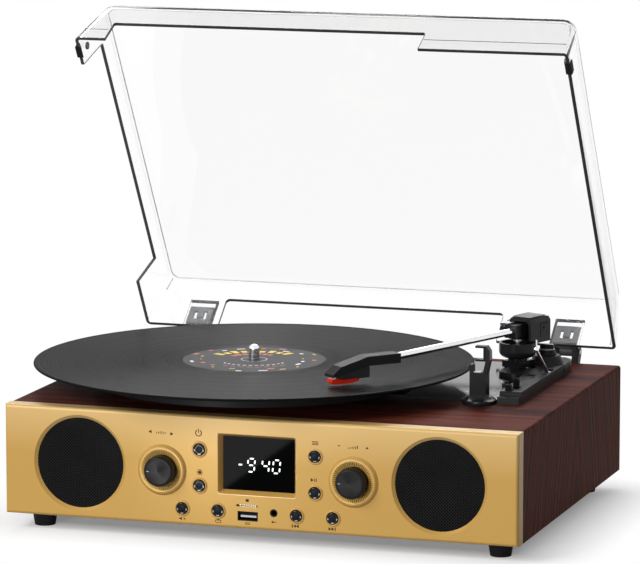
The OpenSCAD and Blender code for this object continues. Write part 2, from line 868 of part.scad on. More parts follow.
module drive_belt() {
    color("#141414") translate([spindle_x, spindle_y, belt_z]) rotate(pulley_angle)
        linear_extrude(height = belt_h) difference() {
            belt_2d(belt_t);
            belt_2d(0);
        }
}

platter_skin = 2.6;
rim_t = 3;
drive_t = 3;
hub_r = 12;

module platter() {
    skirt_h = platter_t - platter_skin;
    color("#1a1a1b") translate([spindle_x, spindle_y, platter_z]) difference() {
        union() {
            translate([0, 0, skirt_h]) cylinder(r = platter_r, h = platter_skin, $fn = 128);
            difference() {
                cylinder(r = platter_r, h = skirt_h + eps, $fn = 128);
                translate([0, 0, -1]) cylinder(r = platter_r - rim_t, h = platter_t, $fn = 128);
            }
            difference() {
                translate([0, 0, 1]) cylinder(r = drive_r, h = skirt_h - 1 + eps, $fn = 128);
                cylinder(r = drive_r - drive_t, h = platter_t, $fn = 128);
            }
            cylinder(r = hub_r, h = skirt_h + eps);
        }
        translate([0, 0, -1]) cylinder(r = spindle_r, h = platter_t + 2);
    }
}

module slip_mat() {
    color("#2c2d2f") translate([spindle_x, spindle_y, mat_z]) difference() {
        cylinder(r = platter_r - 1, h = mat_t, $fn = 128);
        translate([0, 0, -1]) cylinder(r = spindle_r + fit, h = mat_t + 2);
    }
}

module record() {
    edge = 0.5;
    color("#101011") translate([spindle_x, spindle_y, record_z])
        rotate_extrude($fn = 128) polygon([
            [spindle_r + fit, 0], [record_r - edge, 0], [record_r, edge],
            [record_r, record_t - edge], [record_r - edge, record_t],
            [record_r - 3, record_t - 0.3], [label_r + 6, record_t - 0.3], [label_r + 4, record_t],
            [spindle_r + fit, record_t]
        ]);
}

// Tonearm: base, tower and moving arm

strip_h = 8;
strip_low = 5;
strip_step = 6.5;
strip_x1 = base_x + 15;
strip_y0 = rest_y - 0.5;
strip_y1 = deck_y + deck_d / 2 + 0.5;
strip_r = 12;
boss_low_r = 12.6;
boss_top_r = 9;
boss_top = 14;
lobe_r = boss_low_r + 0.9;
skate_stem_r = 2;
lever_side = 25.4;
lever_front = 11.5;
lever_x = swivel_x + lever_side;
lever_y = swivel_y - lever_front;
lever_h = 5.2;
lever_hub_r = 2.6;
lever_hub_w = 3.4;
lever_pin_r = 1.2;
tab_w = 4.4;
tab_l = 2.4;
stop_x = base_x + 5.6;
stop_y = rest_y + 8;
stop_travel = 5;
speed_x = base_x + 7.2;
speed_y = rest_y + 22;
speed_travel = 3;
tower_r = 13;
post_r = 4;
post_top = 21;
lift_r = 1.5;
lift_angle = 0.84;

module strip_2d(y0) {
    intersection() {
        union() {
            polygon([
                [base_x, y0], [strip_x1, y0], [strip_x1, strip_y1 - strip_r],
                [strip_x1 - strip_r, strip_y1], [base_x, strip_y1]
            ]);
            translate([strip_x1 - strip_r, strip_y1 - strip_r]) circle(r = strip_r);
        }
        translate([base_x, y0 - 1]) square([40, strip_y1 - y0 + 2]);
    }
}

module tab_slot(x, y, low, high) {
    w = tab_w / 2 + gap;
    translate([x - w, y - tab_l / 2 - low - gap, top_z + 3])
        cube([2 * w, tab_l + low + high + 2 * gap, strip_h]);
}

module arm_base() {
    slot_w = lever_hub_w / 2 + gap;
    color("#3a3c3e") difference() {
        union() {
            translate([0, 0, top_z]) linear_extrude(height = strip_low) strip_2d(strip_y0);
            translate([0, 0, top_z + strip_low - eps])
                linear_extrude(height = strip_h - strip_low + eps)
                    strip_2d(strip_y0 + strip_step);
            translate([0, 0, top_z + deck_t]) linear_extrude(height = strip_h - deck_t)
                difference() {
                    union() {
                        polygon([
                            [base_x + 1, rest_y + 28.5], [base_x - 1.3, swivel_y - 40.4],
                            [base_x - 8.3, swivel_y + 15], [knob_cx, knob_cy + lobe_r],
                            [base_x + 1, knob_cy + lobe_r]
                        ]);
                        translate([knob_cx, knob_cy]) circle(r = lobe_r);
                    }
                    translate([swivel_x, swivel_y]) circle(r = tower_r + gap);
                }
            translate([knob_cx, knob_cy, top_z + strip_h - eps])
                cylinder(r1 = boss_low_r, r2 = boss_top_r, h = boss_top - strip_h + eps);
        }
        translate([knob_cx, knob_cy, top_z + 3]) cylinder(r = skate_stem_r + fit, h = 20);
        tab_slot(stop_x, stop_y, 0, stop_travel);
        tab_slot(speed_x, speed_y, speed_travel, speed_travel);
        translate([lever_x - slot_w, lever_y - 7, top_z + 1.5]) cube([2 * slot_w, 14, 20]);
        translate([lever_x - slot_w - 1, lever_y, top_z + lever_h]) rotate([0, 90, 0])
            cylinder(r = lever_pin_r + fit, h = 2 * slot_w + 2, $fn = 32);
        translate([base_x + 1.2, rest_y + 67, top_z + strip_h - 1.5]) cube([6, 6, 3]);
    }
}

module slide_tab(x, y, up) {
    color("#141415") translate([x - tab_w / 2, y - tab_l / 2, top_z + 3 + gap])
        cube([tab_w, tab_l, strip_h - 3 - gap + up]);
}

module auto_stop_lever() {
    slide_tab(stop_x, stop_y, 4.6);
}

module speed_lever() {
    slide_tab(speed_x, speed_y, 6.4);
}

module skate_knob() {
    cap_r = 5.4;
    z = top_z + boss_top + gap;
    color("#232325") translate([knob_cx, knob_cy, 0]) {
        translate([0, 0, top_z + 3.3]) cylinder(r = skate_stem_r, h = boss_top - 2);
        translate([0, 0, z]) cylinder(r1 = cap_r + 1.6, r2 = cap_r, h = 3.4);
        translate([-cap_r + 0.6, -1.2, z + 3.4 - eps]) cube([2 * cap_r - 1.2, 2.4, 3.6]);
    }
}

module cue_lever() {
    reach = 33.6;
    rise = 23.15;
    tip = 6.5;
    ball_r = 1.8;
    end = [lever_x, lever_y - reach, top_z + lever_h + rise];
    hub = [lever_x, lever_y, top_z + lever_h];
    pin_l = lever_hub_w / 2 + gap + 0.8;
    color("#c9ccd0") {
        translate(hub - [lever_hub_w / 2, 0, 0]) rotate([0, 90, 0])
            cylinder(r = lever_hub_r, h = lever_hub_w);
        translate(hub - [pin_l, 0, 0]) rotate([0, 90, 0])
            cylinder(r = lever_pin_r, h = 2 * pin_l, $fn = 32);
        rod(hub, end, 1);
        translate(end) sphere(r = ball_r, $fn = 32);
        translate(end) cylinder(r = 0.6, h = tip, $fn = 32);
    }
}

module pivot_tower() {
    color("#2a2b2d") translate([swivel_x, swivel_y, top_z]) difference() {
        union() {
            translate([0, 0, deck_t]) cylinder(r = tower_r, h = 2.6);
            translate([0, 0, deck_t + 2.6 - eps]) cylinder(r1 = tower_r, r2 = 8.5, h = 3.4);
            cylinder(r = 4.8, h = deck_t + 1);
            translate([0, 0, deck_t + 3]) cylinder(r = 6.6, h = 14 - deck_t - 3);
            rotate(-arm_angle) translate([-7.5, -8, 8 - eps]) cube([15, 17, 4.6]);
            translate([0, 0, 13]) cylinder(r = post_r, h = post_top - 13);
        }
        translate([0, 0, -1]) cylinder(r = lift_r + fit, h = post_top + 2, $fn = 48);
    }
}

module arm_place() {
    translate([swivel_x, swivel_y, top_z]) rotate([0, 0, -arm_angle]) children();
}

cup_low = 14.4;
cup_top = 25;
cup_wall = 1.8;
house_low = 23.9;
house_y0 = pivot_back - 13;
house_l = 22.5;
house_wall = 2;
house_top = 41;
pad_w = 15.6;
pivot_r = 1.2;

module cup() {
    r = cup_r;
    c = 5;
    difference() {
        rotate_extrude($fn = 96) union() {
            translate([0, cup_low]) square([r - c, cup_wall + 0.4]);
            translate([r - cup_wall, cup_low + c]) square([cup_wall, cup_top - cup_low - c]);
            translate([r - c, cup_low + c]) intersection() {
                difference() {
                    circle(r = c);
                    circle(r = c - cup_wall);
                }
                translate([0, -c]) square([c, c]);
            }
            translate([0, cup_low]) square([post_r + 2, post_top - cup_low - 0.5]);
        }
        translate([0, 0, cup_low - 1]) cylinder(r = post_r + fit, h = 20);
    }
}

module house_2d(inset) {
    w = housing_w / 2 - inset;
    top = house_top - inset;
    low = house_low + inset * 0.75;
    polygon([
        [-w, low], [w, low], [w, top - 2.4], [w - 1.7, top], [-w + 1.7, top], [-w, top - 2.4]
    ]);
}

module arm_housing() {
    color("#303133") arm_place() difference() {
        union() {
            difference() {
                translate([0, house_y0 + house_l, 0]) rotate([90, 0, 0])
                    linear_extrude(height = house_l) house_2d(0);
                translate([0, house_y0 + house_l - house_wall, 0]) rotate([90, 0, 0])
                    linear_extrude(height = house_l) house_2d(house_wall);
                translate([0, 0, house_low - 5])
                    cylinder(r = cup_r - cup_wall + eps, h = 5 + house_wall);
            }
            cup();
            translate([-pad_w / 2, house_y0 + 1.5, house_top - eps])
                cube([pad_w, house_l - 4, 0.5]);
            translate([-housing_w / 2 - 3.4, house_y0 + 2, 33]) cube([3.5, 12, 5.4]);
        }
        translate([-housing_w, pivot_back, arm_h]) rotate([0, 90, 0])
            cylinder(r = pivot_r + fit, h = 2 * housing_w, $fn = 48);
    }
}

block_x0 = -5.5;
block_x1 = 4;
block_low = 28.4;
block_top = 37.6;
block_y0 = -8;
block_y1 = pivot_back + 3;
tube_in = 6;

module arm_block() {
    color("#26272a") arm_place() difference() {
        union() {
            translate([block_x0, block_y0, block_low])
                cube([block_x1 - block_x0, block_y1 - block_y0, block_top - block_low]);
            translate([-housing_w / 2 + 0.1, pivot_back, arm_h]) rotate([0, 90, 0])
                cylinder(r = pivot_r, h = housing_w - 0.2, $fn = 48);
            translate([block_x0 - 3, block_y0 - 1.4, block_top - 2.6]) cube([4, 5, 1.2]);
            translate([block_x0 - 3, block_y0 - 1.4, block_top - 4.6]) cube([4, 1.2, 3]);
        }
        translate([0, block_y0 + tube_in, arm_h]) rotate([90, 0, 0])
            cylinder(r = arm_r + fit, h = tube_in + 10, $fn = 48);
    }
}

module counterweight() {
    w = housing_w - 2 * house_wall - 2;
    color("#85888c") arm_place() translate([-w / 2, block_y1, block_low + 1])
        cube([w, house_y0 + house_l - house_wall - 0.8 - block_y1, 7]);
}

module arm_tube() {
    color("#d8dade") arm_place() translate([0, block_y0 + tube_in, arm_h]) rotate([90, 0, 0])
        cylinder(r = arm_r, h = arm_l + block_y0 + tube_in, $fn = 48);
}

module head_place() {
    arm_place() translate([0, -arm_l, 0]) rotate([0, 0, -head_angle]) children();
}

// A shape in the headshell's side view, forward to the left, drawn out across its width
module head_side(w) {
    head_place() translate([-w / 2, 0, 0]) rotate([90, 0, 90]) linear_extrude(height = w) children();
}

shell_low = arm_h - 3.2;
shell_top = arm_h + 3.2;
shell_flat = 21;
shell_slope = head_l - 6.4;
shell_end_low = shell_low - 4.1;

module headshell() {
    color("#232325") difference() {
        head_side(head_w) polygon([
            [4, shell_low], [4, shell_top], [-shell_flat, shell_top],
            [-shell_slope, shell_top - 5.3], [-head_l + 0.2, shell_top - 10.3],
            [-head_l, shell_low - 5.8], [-shell_slope, shell_end_low], [-shell_flat, shell_low]
        ]);
        arm_place() translate([0, block_y0, arm_h]) rotate([90, 0, 0])
            cylinder(r = arm_r + fit, h = arm_l + block_y0, $fn = 48);
    }
}

cart_w = 9;
cart_low = 22.2;

module cartridge() {
    color("#6f7175") head_side(cart_w) polygon([
        [-shell_flat + 1.5, shell_low - fit], [-shell_flat, shell_low - fit],
        [-shell_slope + 1, shell_end_low], [-shell_slope + 1, cart_low],
        [-shell_flat + 1.5, cart_low]
    ]);
}

module stylus() {
    tip_s = 45.4;
    tip_h = 18.3;
    body_low = 19.3;
    color("#b3202a") {
        head_side(cart_w - 2) polygon([
            [-27, cart_low], [-27, 20.6], [-33, body_low], [-45.8, body_low],
            [-head_l + 0.6, 20.8], [-head_l + 0.6, 23], [-shell_slope, 23], [-shell_slope, cart_low]
        ]);
        head_place() translate([0, -tip_s, tip_h])
            cylinder(r1 = 0.12, r2 = 0.5, h = body_low - tip_h + eps, $fn = 32);
    }
}

module lift_pin() {
    head_top = block_low - lift_travel + pivot_back * sin(lift_angle) - 0.15;
    color("#c9ccd0") translate([swivel_x, swivel_y, top_z]) {
        translate([0, 0, -10]) cylinder(r = lift_r, h = head_top + 9.5);
        translate([0, 0, head_top - 1.2]) cylinder(r = 3.2, h = 1.2);
    }
}

jaw_x0 = rest_x - 2.4;
jaw_x1 = rest_x + 4.8;
jaw_back = rest_x + 3.2;
jaw_low = arm_h - arm_r - 0.4;
jaw_high = arm_h + arm_r + 2.2;
jaw_t = 1.4;
jaw_d = 6;
claw_top = jaw_high + jaw_t + 0.1;

module arm_rest() {
    post_x0 = rest_x - 5.6;
    post_w = 11.4;
    color("#1d1d1f") {
        translate([rest_x, rest_y, top_z]) {
            cylinder(r = rest_r, h = 2.8);
            translate([0, 0, 2.8 - eps]) cylinder(r1 = rest_r, r2 = 8.2, h = 2.4);
        }
        translate([post_x0, rest_y - 5, top_z + 4]) cube([post_w, 9, 17.6]);
        translate([post_x0, rest_y - 5, top_z + 20]) cube([2.6, 5, 7]);
        translate([0, rest_y + jaw_d / 2, top_z]) rotate([90, 0, 0]) linear_extrude(height = jaw_d)
            polygon([
                [post_x0 + post_w - 3, 20], [post_x0 + post_w, 20], [jaw_x1 + 3.2, 30],
                [jaw_x1 + 3, claw_top - 3.4], [jaw_x1 + 0.6, claw_top], [jaw_x1, claw_top],
                [jaw_x1, jaw_low - jaw_t + 0.1]
            ]);
    }
}

module rest_clip() {
    color("#101011") translate([0, rest_y + jaw_d / 2 - 0.5, top_z]) rotate([90, 0, 0])
        linear_extrude(height = jaw_d - 1) polygon([
            [jaw_x0, jaw_low - jaw_t], [jaw_x1, jaw_low - jaw_t], [jaw_x1, jaw_high + jaw_t],
            [jaw_x0, jaw_high + jaw_t], [jaw_x0, jaw_high], [jaw_back, jaw_high],
            [jaw_back, jaw_low], [jaw_x0, jaw_low]
        ]);
}

// Lid and hinges, drawn closed and then turned about the hinge pins

module lid_pose() {
    translate([0, pin_y, pin_z]) rotate([-lid_open, 0, 0]) translate([0, -pin_y, -pin_z])
        children();
}

lid_z = top_z + lid_gap;
lid_y = lid_rear_y - lid_d / 2;
frame_rib = 1.4;
frame_out = 2.2;
frame_l = 25;
lid_rim_r = lid_t + 1;
lid_crown_r = lid_t + 6.5;

// The lid's solid outline, drawn smaller all round by inset
module lid_hull(inset) {
    w = lid_w - 2 * inset;
    d = lid_d - 2 * inset;
    h = lid_h - inset;
    t = lid_taper;
    edge = lid_edge;
    hull() {
        translate([0, lid_y, lid_z - (inset > 0 ? 1 : 0)])
            slab(w, d, 0.1, lid_rim_r - inset, $fn = 32);
        translate([0, lid_y, lid_z + h - edge])
            slab(w - 2 * t, d - 2 * t, 0.1, lid_crown_r - inset, $fn = 32);
        translate([0, lid_y, lid_z + h - 0.1])
            slab(w - 2 * t - 2 * edge, d - 2 * t - 2 * edge, 0.1, lid_crown_r - 1 - inset, $fn = 32);
    }
}

// A flat shape drawn from the lid's rear rim: forward, and up from the rim
module lid_side(x0, x1) {
    translate([x0, lid_rear_y, lid_z]) rotate([90, 0, 90]) linear_extrude(height = x1 - x0)
        scale([-1, 1]) children();
}

// A notch that opens at the lid's rim: from x0 to x1, h high, with round upper corners
module notch_2d(x0, x1, h, r) {
    below = 5;
    translate([x0, -below]) square([x1 - x0, h - r + below]);
    translate([x0 + r, -below]) square([x1 - x0 - 2 * r, h + below]);
    for (x = [x0 + r, x1 - r]) translate([x, h - r]) circle(r = r);
}

front_notch_h = 20.5;
rear_notch_h = 26;
side_notch_h = 29;
side_v0 = lid_rear_y - spindle_y - 112.2;
side_v1 = lid_rear_y - spindle_y + 84.8;

module lid() {
    color("#dfe6ea", 0.35) lid_pose() {
        difference() {
            lid_hull(0);
            lid_hull(lid_t);
            translate([0, lid_rear_y - lid_d + 20, lid_z]) rotate([90, 0, 0])
                linear_extrude(height = 30)
                    notch_2d(spindle_x - 111.2, spindle_x + 112.8, front_notch_h, 1.2);
            translate([0, lid_rear_y + 5, lid_z]) rotate([90, 0, 0])
                linear_extrude(height = 20)
                    notch_2d(spindle_x - 78.8, spindle_x + 129.8, rear_notch_h, 3);
            lid_side(-lid_w / 2 - 5, -lid_w / 2 + 15)
                polygon([
                    [side_v0 + 2.7, -1], [side_v0, side_notch_h], [side_v1, side_notch_h],
                    [side_v1 + 4, -1]
                ]);
        }
        slope = lid_taper / (lid_h - lid_edge);
        for (s = [-1, 1]) {
            for (e = [-1, 1])
                lid_side(s * hinge_x + e * (hinge_w / 2 + 0.2) - frame_rib / 2,
                    s * hinge_x + e * (hinge_w / 2 + 0.2) + frame_rib / 2)
                    polygon([
                        [0.5, 1], [0.5 + frame_l * slope, frame_l],
                        [frame_l * slope - frame_out, frame_l], [-frame_out, 1]
                    ]);
            lid_side(s * hinge_x - hinge_w / 2, s * hinge_x + hinge_w / 2)
                polygon([
                    [0.5 + (frame_l - frame_rib) * slope, frame_l - frame_rib],
                    [0.5 + frame_l * slope, frame_l], [frame_l * slope - frame_out, frame_l],
                    [(frame_l - frame_rib) * slope - frame_out, frame_l - frame_rib]
                ]);
        }
    }
}

clip_v = 251;

module lid_bumpers() {
    l = 9;
    grip = 0.9;
    color("#131314") lid_pose() for (s = [-1, 1])
        translate([s * (lid_w / 2 - lid_t / 2), lid_rear_y - clip_v, lid_z]) {
            translate([-lid_t / 2 - grip, -l / 2, -0.8])
                cube([lid_t + 2 * grip, l, 0.8 - eps]);
            translate([s * (lid_t / 2 + 0.05 + grip / 2) - grip / 2, -l / 2, -0.8])
                cube([grip, l, 5]);
        }
}

leaf_w = hinge_w - 1.6;
leaf_window_w = 9.6;
leaf_window_h = 7.2;
leaf_tongue_w = 5;
leaf_tongue_h = 5.6;
leaf_t = 1.9;
knuckle_r = 3.4;
knuckle_w = 5;
leaf_low = 4.6;
leaf_high = 20;
pin_l = hinge_w;

module leaf(sx) {
    slope = lid_taper / (lid_h - lid_edge);
    inner_w = pin_l - 2 * knuckle_w - 2 * gap;
    lid_pose() difference() {
        union() {
            lid_side(sx * hinge_x - leaf_w / 2, sx * hinge_x + leaf_w / 2) polygon([
                [(leaf_low - lid_gap) * slope - fit, leaf_low - lid_gap],
                [(leaf_high - lid_gap) * slope - fit, leaf_high - lid_gap],
                [(leaf_high - lid_gap) * slope - leaf_t, leaf_high - lid_gap],
                [(leaf_low - lid_gap) * slope - leaf_t, leaf_low - lid_gap]
            ]);
            translate([sx * hinge_x - inner_w / 2, lid_rear_y + leaf_t / 2, pin_z - 1.6])
                cube([inner_w, pin_y - lid_rear_y - leaf_t / 2, 3.2]);
            translate([sx * hinge_x - inner_w / 2, pin_y, pin_z]) rotate([0, 90, 0])
                cylinder(r = knuckle_r, h = inner_w);
        }
        translate([sx * hinge_x - hinge_w, pin_y, pin_z]) rotate([0, 90, 0])
            cylinder(r = hinge_pin_r + fit, h = 2 * hinge_w, $fn = 48);
        leaf_window(sx);
    }
}

// A window through the leaf with a tongue left hanging in it
module leaf_window(sx) {
    mid = (leaf_low + leaf_high) / 2 - lid_gap;
    low = mid - leaf_window_h / 2;
    tongue_low = low + leaf_window_h - leaf_tongue_h;
    difference() {
        leaf_block(sx, leaf_window_w, low, low + leaf_window_h);
        leaf_block(sx, leaf_tongue_w, tongue_low, low + leaf_window_h + 1);
    }
}

module leaf_block(sx, w, z0, z1)
    lid_side(sx * hinge_x - w / 2, sx * hinge_x + w / 2)
        polygon([[-2 * leaf_t, z0], [2 * leaf_t, z0], [2 * leaf_t, z1], [-2 * leaf_t, z1]]);

module hinge_leaves() {
    color("#8b8e92") for (s = [-1, 1]) leaf(s);
}

module hinge_bases() {
    plate_h = 20;
    plate_d = 2.6;
    color("#2a2b2e") for (s = [-1, 1]) translate([s * hinge_x, 0, 0]) difference() {
        union() {
            translate([-hinge_w / 2, back_y, top_z - 1 - plate_h]) cube([hinge_w, plate_d, plate_h]);
            for (e = [-1, 1]) {
                x0 = e * (pin_l / 2 - knuckle_w / 2) - knuckle_w / 2;
                translate([x0, 0, 0]) rotate([90, 0, 90]) linear_extrude(height = knuckle_w)
                    polygon([
                        [back_y + 1, top_z - 12], [back_y + 1, top_z - 1],
                        [pin_y - knuckle_r + 0.3, pin_z + 0.8], [pin_y + knuckle_r - 0.3, pin_z + 0.8],
                        [pin_y + knuckle_r - 0.6, pin_z - 3]
                    ]);
                translate([x0, pin_y, pin_z]) rotate([0, 90, 0])
                    cylinder(r = knuckle_r, h = knuckle_w);
            }
        }
        translate([-hinge_w, pin_y, pin_z]) rotate([0, 90, 0])
            cylinder(r = hinge_pin_r, h = 2 * hinge_w, $fn = 48);
        for (h = [5, 15]) along_y(0, top_z - 1 - h, back_y - 1, back_y + 5, 1.2, $fn = 32);
    }
}

module hinge_pins() {
    color("#c9ccd0") for (s = [-1, 1])
        translate([s * hinge_x - pin_l / 2, pin_y, pin_z]) rotate([0, 90, 0])
            cylinder(r = hinge_pin_r, h = pin_l, $fn = 48);
}

placed() cabinet();
placed() base_board();
placed() feet();
placed() front_panel();
placed() grille_left();
placed() grille_right();
placed() speaker_left();
placed() speaker_right();
placed() display_window();
placed() display_board();
placed() control_board();
placed() tune_encoder();
placed() volume_control();
placed() tune_knob();
placed() volume_knob();
placed() power_button();
placed() record_button();
placed() mute_button();
placed() repeat_button();
placed() mode_button();
placed() play_button();
placed() previous_button();
placed() next_button();
placed() usb_port();
placed() card_socket();
placed() aux_jack();
placed() amplifier_board();
placed() rear_plate();
placed() dc_inlet();
placed() rca_jacks();
placed() deck_plate();
placed() motor();
placed() motor_pulley();
placed() drive_belt();
placed() bearing_bush();
placed() spindle();
placed() platter();
placed() slip_mat();
placed() record();
placed() arm_base();
placed() pivot_tower();
placed() arm_housing();
placed() arm_block();
placed() arm_tube();
placed() headshell();
placed() cartridge();
placed() stylus();
placed() counterweight();
placed() lift_pin();
placed() cue_lever();
placed() arm_rest();
placed() rest_clip();
placed() auto_stop_lever();
placed() speed_lever();
placed() skate_knob();
placed() lid();
placed() lid_bumpers();
placed() hinge_bases();
placed() hinge_pins();
placed() hinge_leaves();
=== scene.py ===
import math

import bmesh
import bpy
from mathutils import Matrix, Vector


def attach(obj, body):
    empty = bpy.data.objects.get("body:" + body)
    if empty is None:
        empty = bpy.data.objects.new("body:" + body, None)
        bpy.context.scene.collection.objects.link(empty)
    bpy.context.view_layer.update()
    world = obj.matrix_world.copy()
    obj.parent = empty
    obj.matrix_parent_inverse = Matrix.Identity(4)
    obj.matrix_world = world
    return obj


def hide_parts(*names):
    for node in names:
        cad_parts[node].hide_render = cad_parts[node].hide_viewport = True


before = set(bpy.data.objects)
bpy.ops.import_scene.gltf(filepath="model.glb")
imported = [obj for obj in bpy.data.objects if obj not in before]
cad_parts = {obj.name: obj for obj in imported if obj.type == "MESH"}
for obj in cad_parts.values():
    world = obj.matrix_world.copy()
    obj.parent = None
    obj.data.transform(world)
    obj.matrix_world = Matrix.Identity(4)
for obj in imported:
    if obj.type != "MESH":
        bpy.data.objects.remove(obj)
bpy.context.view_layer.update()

# Lengths below are millimetres from the cabinet's middle, with z up from the floor.
# Sizes and angles follow the part's source.
MM = 0.001
OX, OY = -7.1, 0.0537                   # the frame's origin, seen from the cabinet's middle
FACE, BACK = -134.5, 134.5              # the gold panel's face and the cabinet's back
BOTTOM, TOP = 11.5, 85.9                # the cabinet's underside and top
SPINDLE_X, SPINDLE_Y = -41.8, -17.2
RECORD_Z = 102.1
RECORD_TOP = RECORD_Z + 1.8
PIN_Y, PIN_Z = BACK + 8.4, TOP + 6.7    # the lid's hinge pins
LID_OPEN = 57.7
LID_Y, LID_Z = BACK - 0.5, TOP + 1.2    # the closed lid's rear face and rim
ARM_X, ARM_Y, ARM_ANGLE = 122.004, 66.984, 21.3


def turn(degrees, axis):
    return Matrix.Rotation(math.radians(degrees), 4, axis)


def shift(x, y, z):
    return Matrix.Translation((x, y, z))


ARM = shift(ARM_X, ARM_Y, TOP) @ turn(-ARM_ANGLE, "Z")
LID = shift(0, PIN_Y, PIN_Z) @ turn(-LID_OPEN, "X") @ shift(0, -PIN_Y, -PIN_Z)
UPRIGHT = turn(90, "X")     # stands a shape drawn in x and y up, with its z to the front


# Materials

def nodes_of(name):
    m = bpy.data.materials.new(name)
    m.use_nodes = True
    t = m.node_tree
    return m, t, t.nodes["Principled BSDF"]


def add(t, kind, **values):
    n = t.nodes.new(kind)
    for key, value in values.items():
        if key in n.inputs:
            n.inputs[key].default_value = value
        else:
            setattr(n, key, value)
    return n


def coords(t):
    return t.nodes.new("ShaderNodeTexCoord").outputs["Object"]


def split(t, vector):
    """The x, y and z of a vector."""
    s = t.nodes.new("ShaderNodeSeparateXYZ")
    t.links.new(vector, s.inputs[0])
    return s.outputs


def stretched(t, vector, scale):
    m = add(t, "ShaderNodeMapping", Scale=scale)
    t.links.new(vector, m.inputs["Vector"])
    return m.outputs[0]


def streaks(t, value, **values):
    """Noise that runs along one value only."""
    n = add(t, "ShaderNodeTexNoise", noise_dimensions="1D", **values)
    t.links.new(value, n.inputs["W"])
    return n.outputs["Fac"]


def noise(t, vector, scale, detail=3.0, rough=0.55, distort=0.0):
    n = add(t, "ShaderNodeTexNoise", Scale=scale, Detail=detail, Roughness=rough,
            Distortion=distort)
    t.links.new(vector, n.inputs["Vector"])
    return n.outputs["Fac"]


def ramp(t, fac, stops):
    """Colours along a factor, from (position, colour) pairs."""
    r = t.nodes.new("ShaderNodeValToRGB")
    e = r.color_ramp.elements
    (e[0].position, first), (e[1].position, last) = stops[0], stops[-1]
    e[0].color, e[1].color = (*first, 1), (*last, 1)
    for position, color in stops[1:-1]:
        e.new(position).color = (*color, 1)
    t.links.new(fac, r.inputs["Fac"])
    return r.outputs["Color"]


def span(t, fac, low, high, a=0.0, b=1.0):
    """Maps a to b onto low to high, and holds the ends."""
    n = add(t, "ShaderNodeMapRange")
    for key, value in (("From Min", a), ("From Max", b), ("To Min", low), ("To Max", high)):
        n.inputs[key].default_value = value
    t.links.new(fac, n.inputs["Value"])
    return n.outputs["Result"]


def mix(t, fac, a, b):
    n = t.nodes.new("ShaderNodeMix")
    n.data_type = "RGBA"
    for value, socket in ((fac, n.inputs["Factor"]), (a, n.inputs[6]), (b, n.inputs[7])):
        if isinstance(value, (int, float)):
            socket.default_value = value
        elif isinstance(value, tuple):
            socket.default_value = (*value, 1)
        else:
            t.links.new(value, socket)
    return n.outputs[2]


def math_node(t, op, a, b=None, c=None):
    n = t.nodes.new("ShaderNodeMath")
    n.operation = op
    for value, socket in zip((a, b, c), n.inputs):
        if value is None:
            continue
        if isinstance(value, (int, float)):
            socket.default_value = value
        else:
            t.links.new(value, socket)
    return n.outputs[0]


def bump(t, bsdf, height, strength, distance):
    n = add(t, "ShaderNodeBump", Strength=strength, Distance=distance)
    t.links.new(height, n.inputs["Height"])
    t.links.new(n.outputs[0], bsdf.inputs["Normal"])


def plain(name, color, rough, metal=0.0, grain=900, depth=0.25, vary=0.12, spec=0.5,
          spread=0.18):
    """A surface with a fine moulded grain, a little uneven in shade and in gloss."""
    m, t, b = nodes_of(name)
    v = coords(t)
    wide = noise(t, v, 38, 4)
    fine = noise(t, v, grain, 3, 0.6)
    low = tuple(c * (1 - spread) for c in color)
    high = tuple(min(1, c * (1 + spread)) for c in color)
    t.links.new(ramp(t, wide, [(0.3, low), (0.7, high)]), b.inputs["Base Color"])
    t.links.new(span(t, wide, max(0.02, rough - vary * 0.5), rough + vary * 0.5),
                b.inputs["Roughness"])
    b.inputs["Metallic"].default_value = metal
    b.inputs["Specular IOR Level"].default_value = spec
    bump(t, b, fine, depth, 0.0001)
    return m


def wood_color(t, along, across, deep, stops, rings):
    """Veneer printed on film: long fibres, broad bands and dark pores along the grain."""
    v = t.nodes.new("ShaderNodeCombineXYZ")
    for value, socket in zip((along, across, deep), v.inputs):
        t.links.new(value, socket)

    def grain(length, width, *settings):
        return noise(t, stretched(t, v.outputs[0], (length, width, width)), 1, *settings)

    fibres = grain(7, 420, 3, 0.7)
    pores = grain(22, 900, 2, 0.5)
    if rings:                                   # arched figure, straight at its sides
        u = math_node(t, "SUBTRACT", across, 0.015)
        arch = math_node(t, "SQRT", math_node(t, "MULTIPLY_ADD", u, u, 0.000012))
        field = math_node(t, "ADD", math_node(t, "MULTIPLY_ADD", along, 0.24, arch),
                          math_node(t, "MULTIPLY", grain(9, 40, 2, 0.5), 0.008))
        bands = streaks(t, field, Scale=240.0, Detail=2.0, Roughness=0.5)
    else:
        bands = grain(1.6, 34, 4, 0.62, 0.6)
    body = math_node(t, "ADD", math_node(t, "MULTIPLY", bands, 0.62),
                     math_node(t, "MULTIPLY", fibres, 0.38))
    color = ramp(t, body, stops)
    dark = span(t, pores, 0.0, 1.0, 0.60, 0.72)
    return mix(t, math_node(t, "MULTIPLY", dark, 0.75), color,
               tuple(c * 0.25 for c in stops[0][1])), fibres, dark


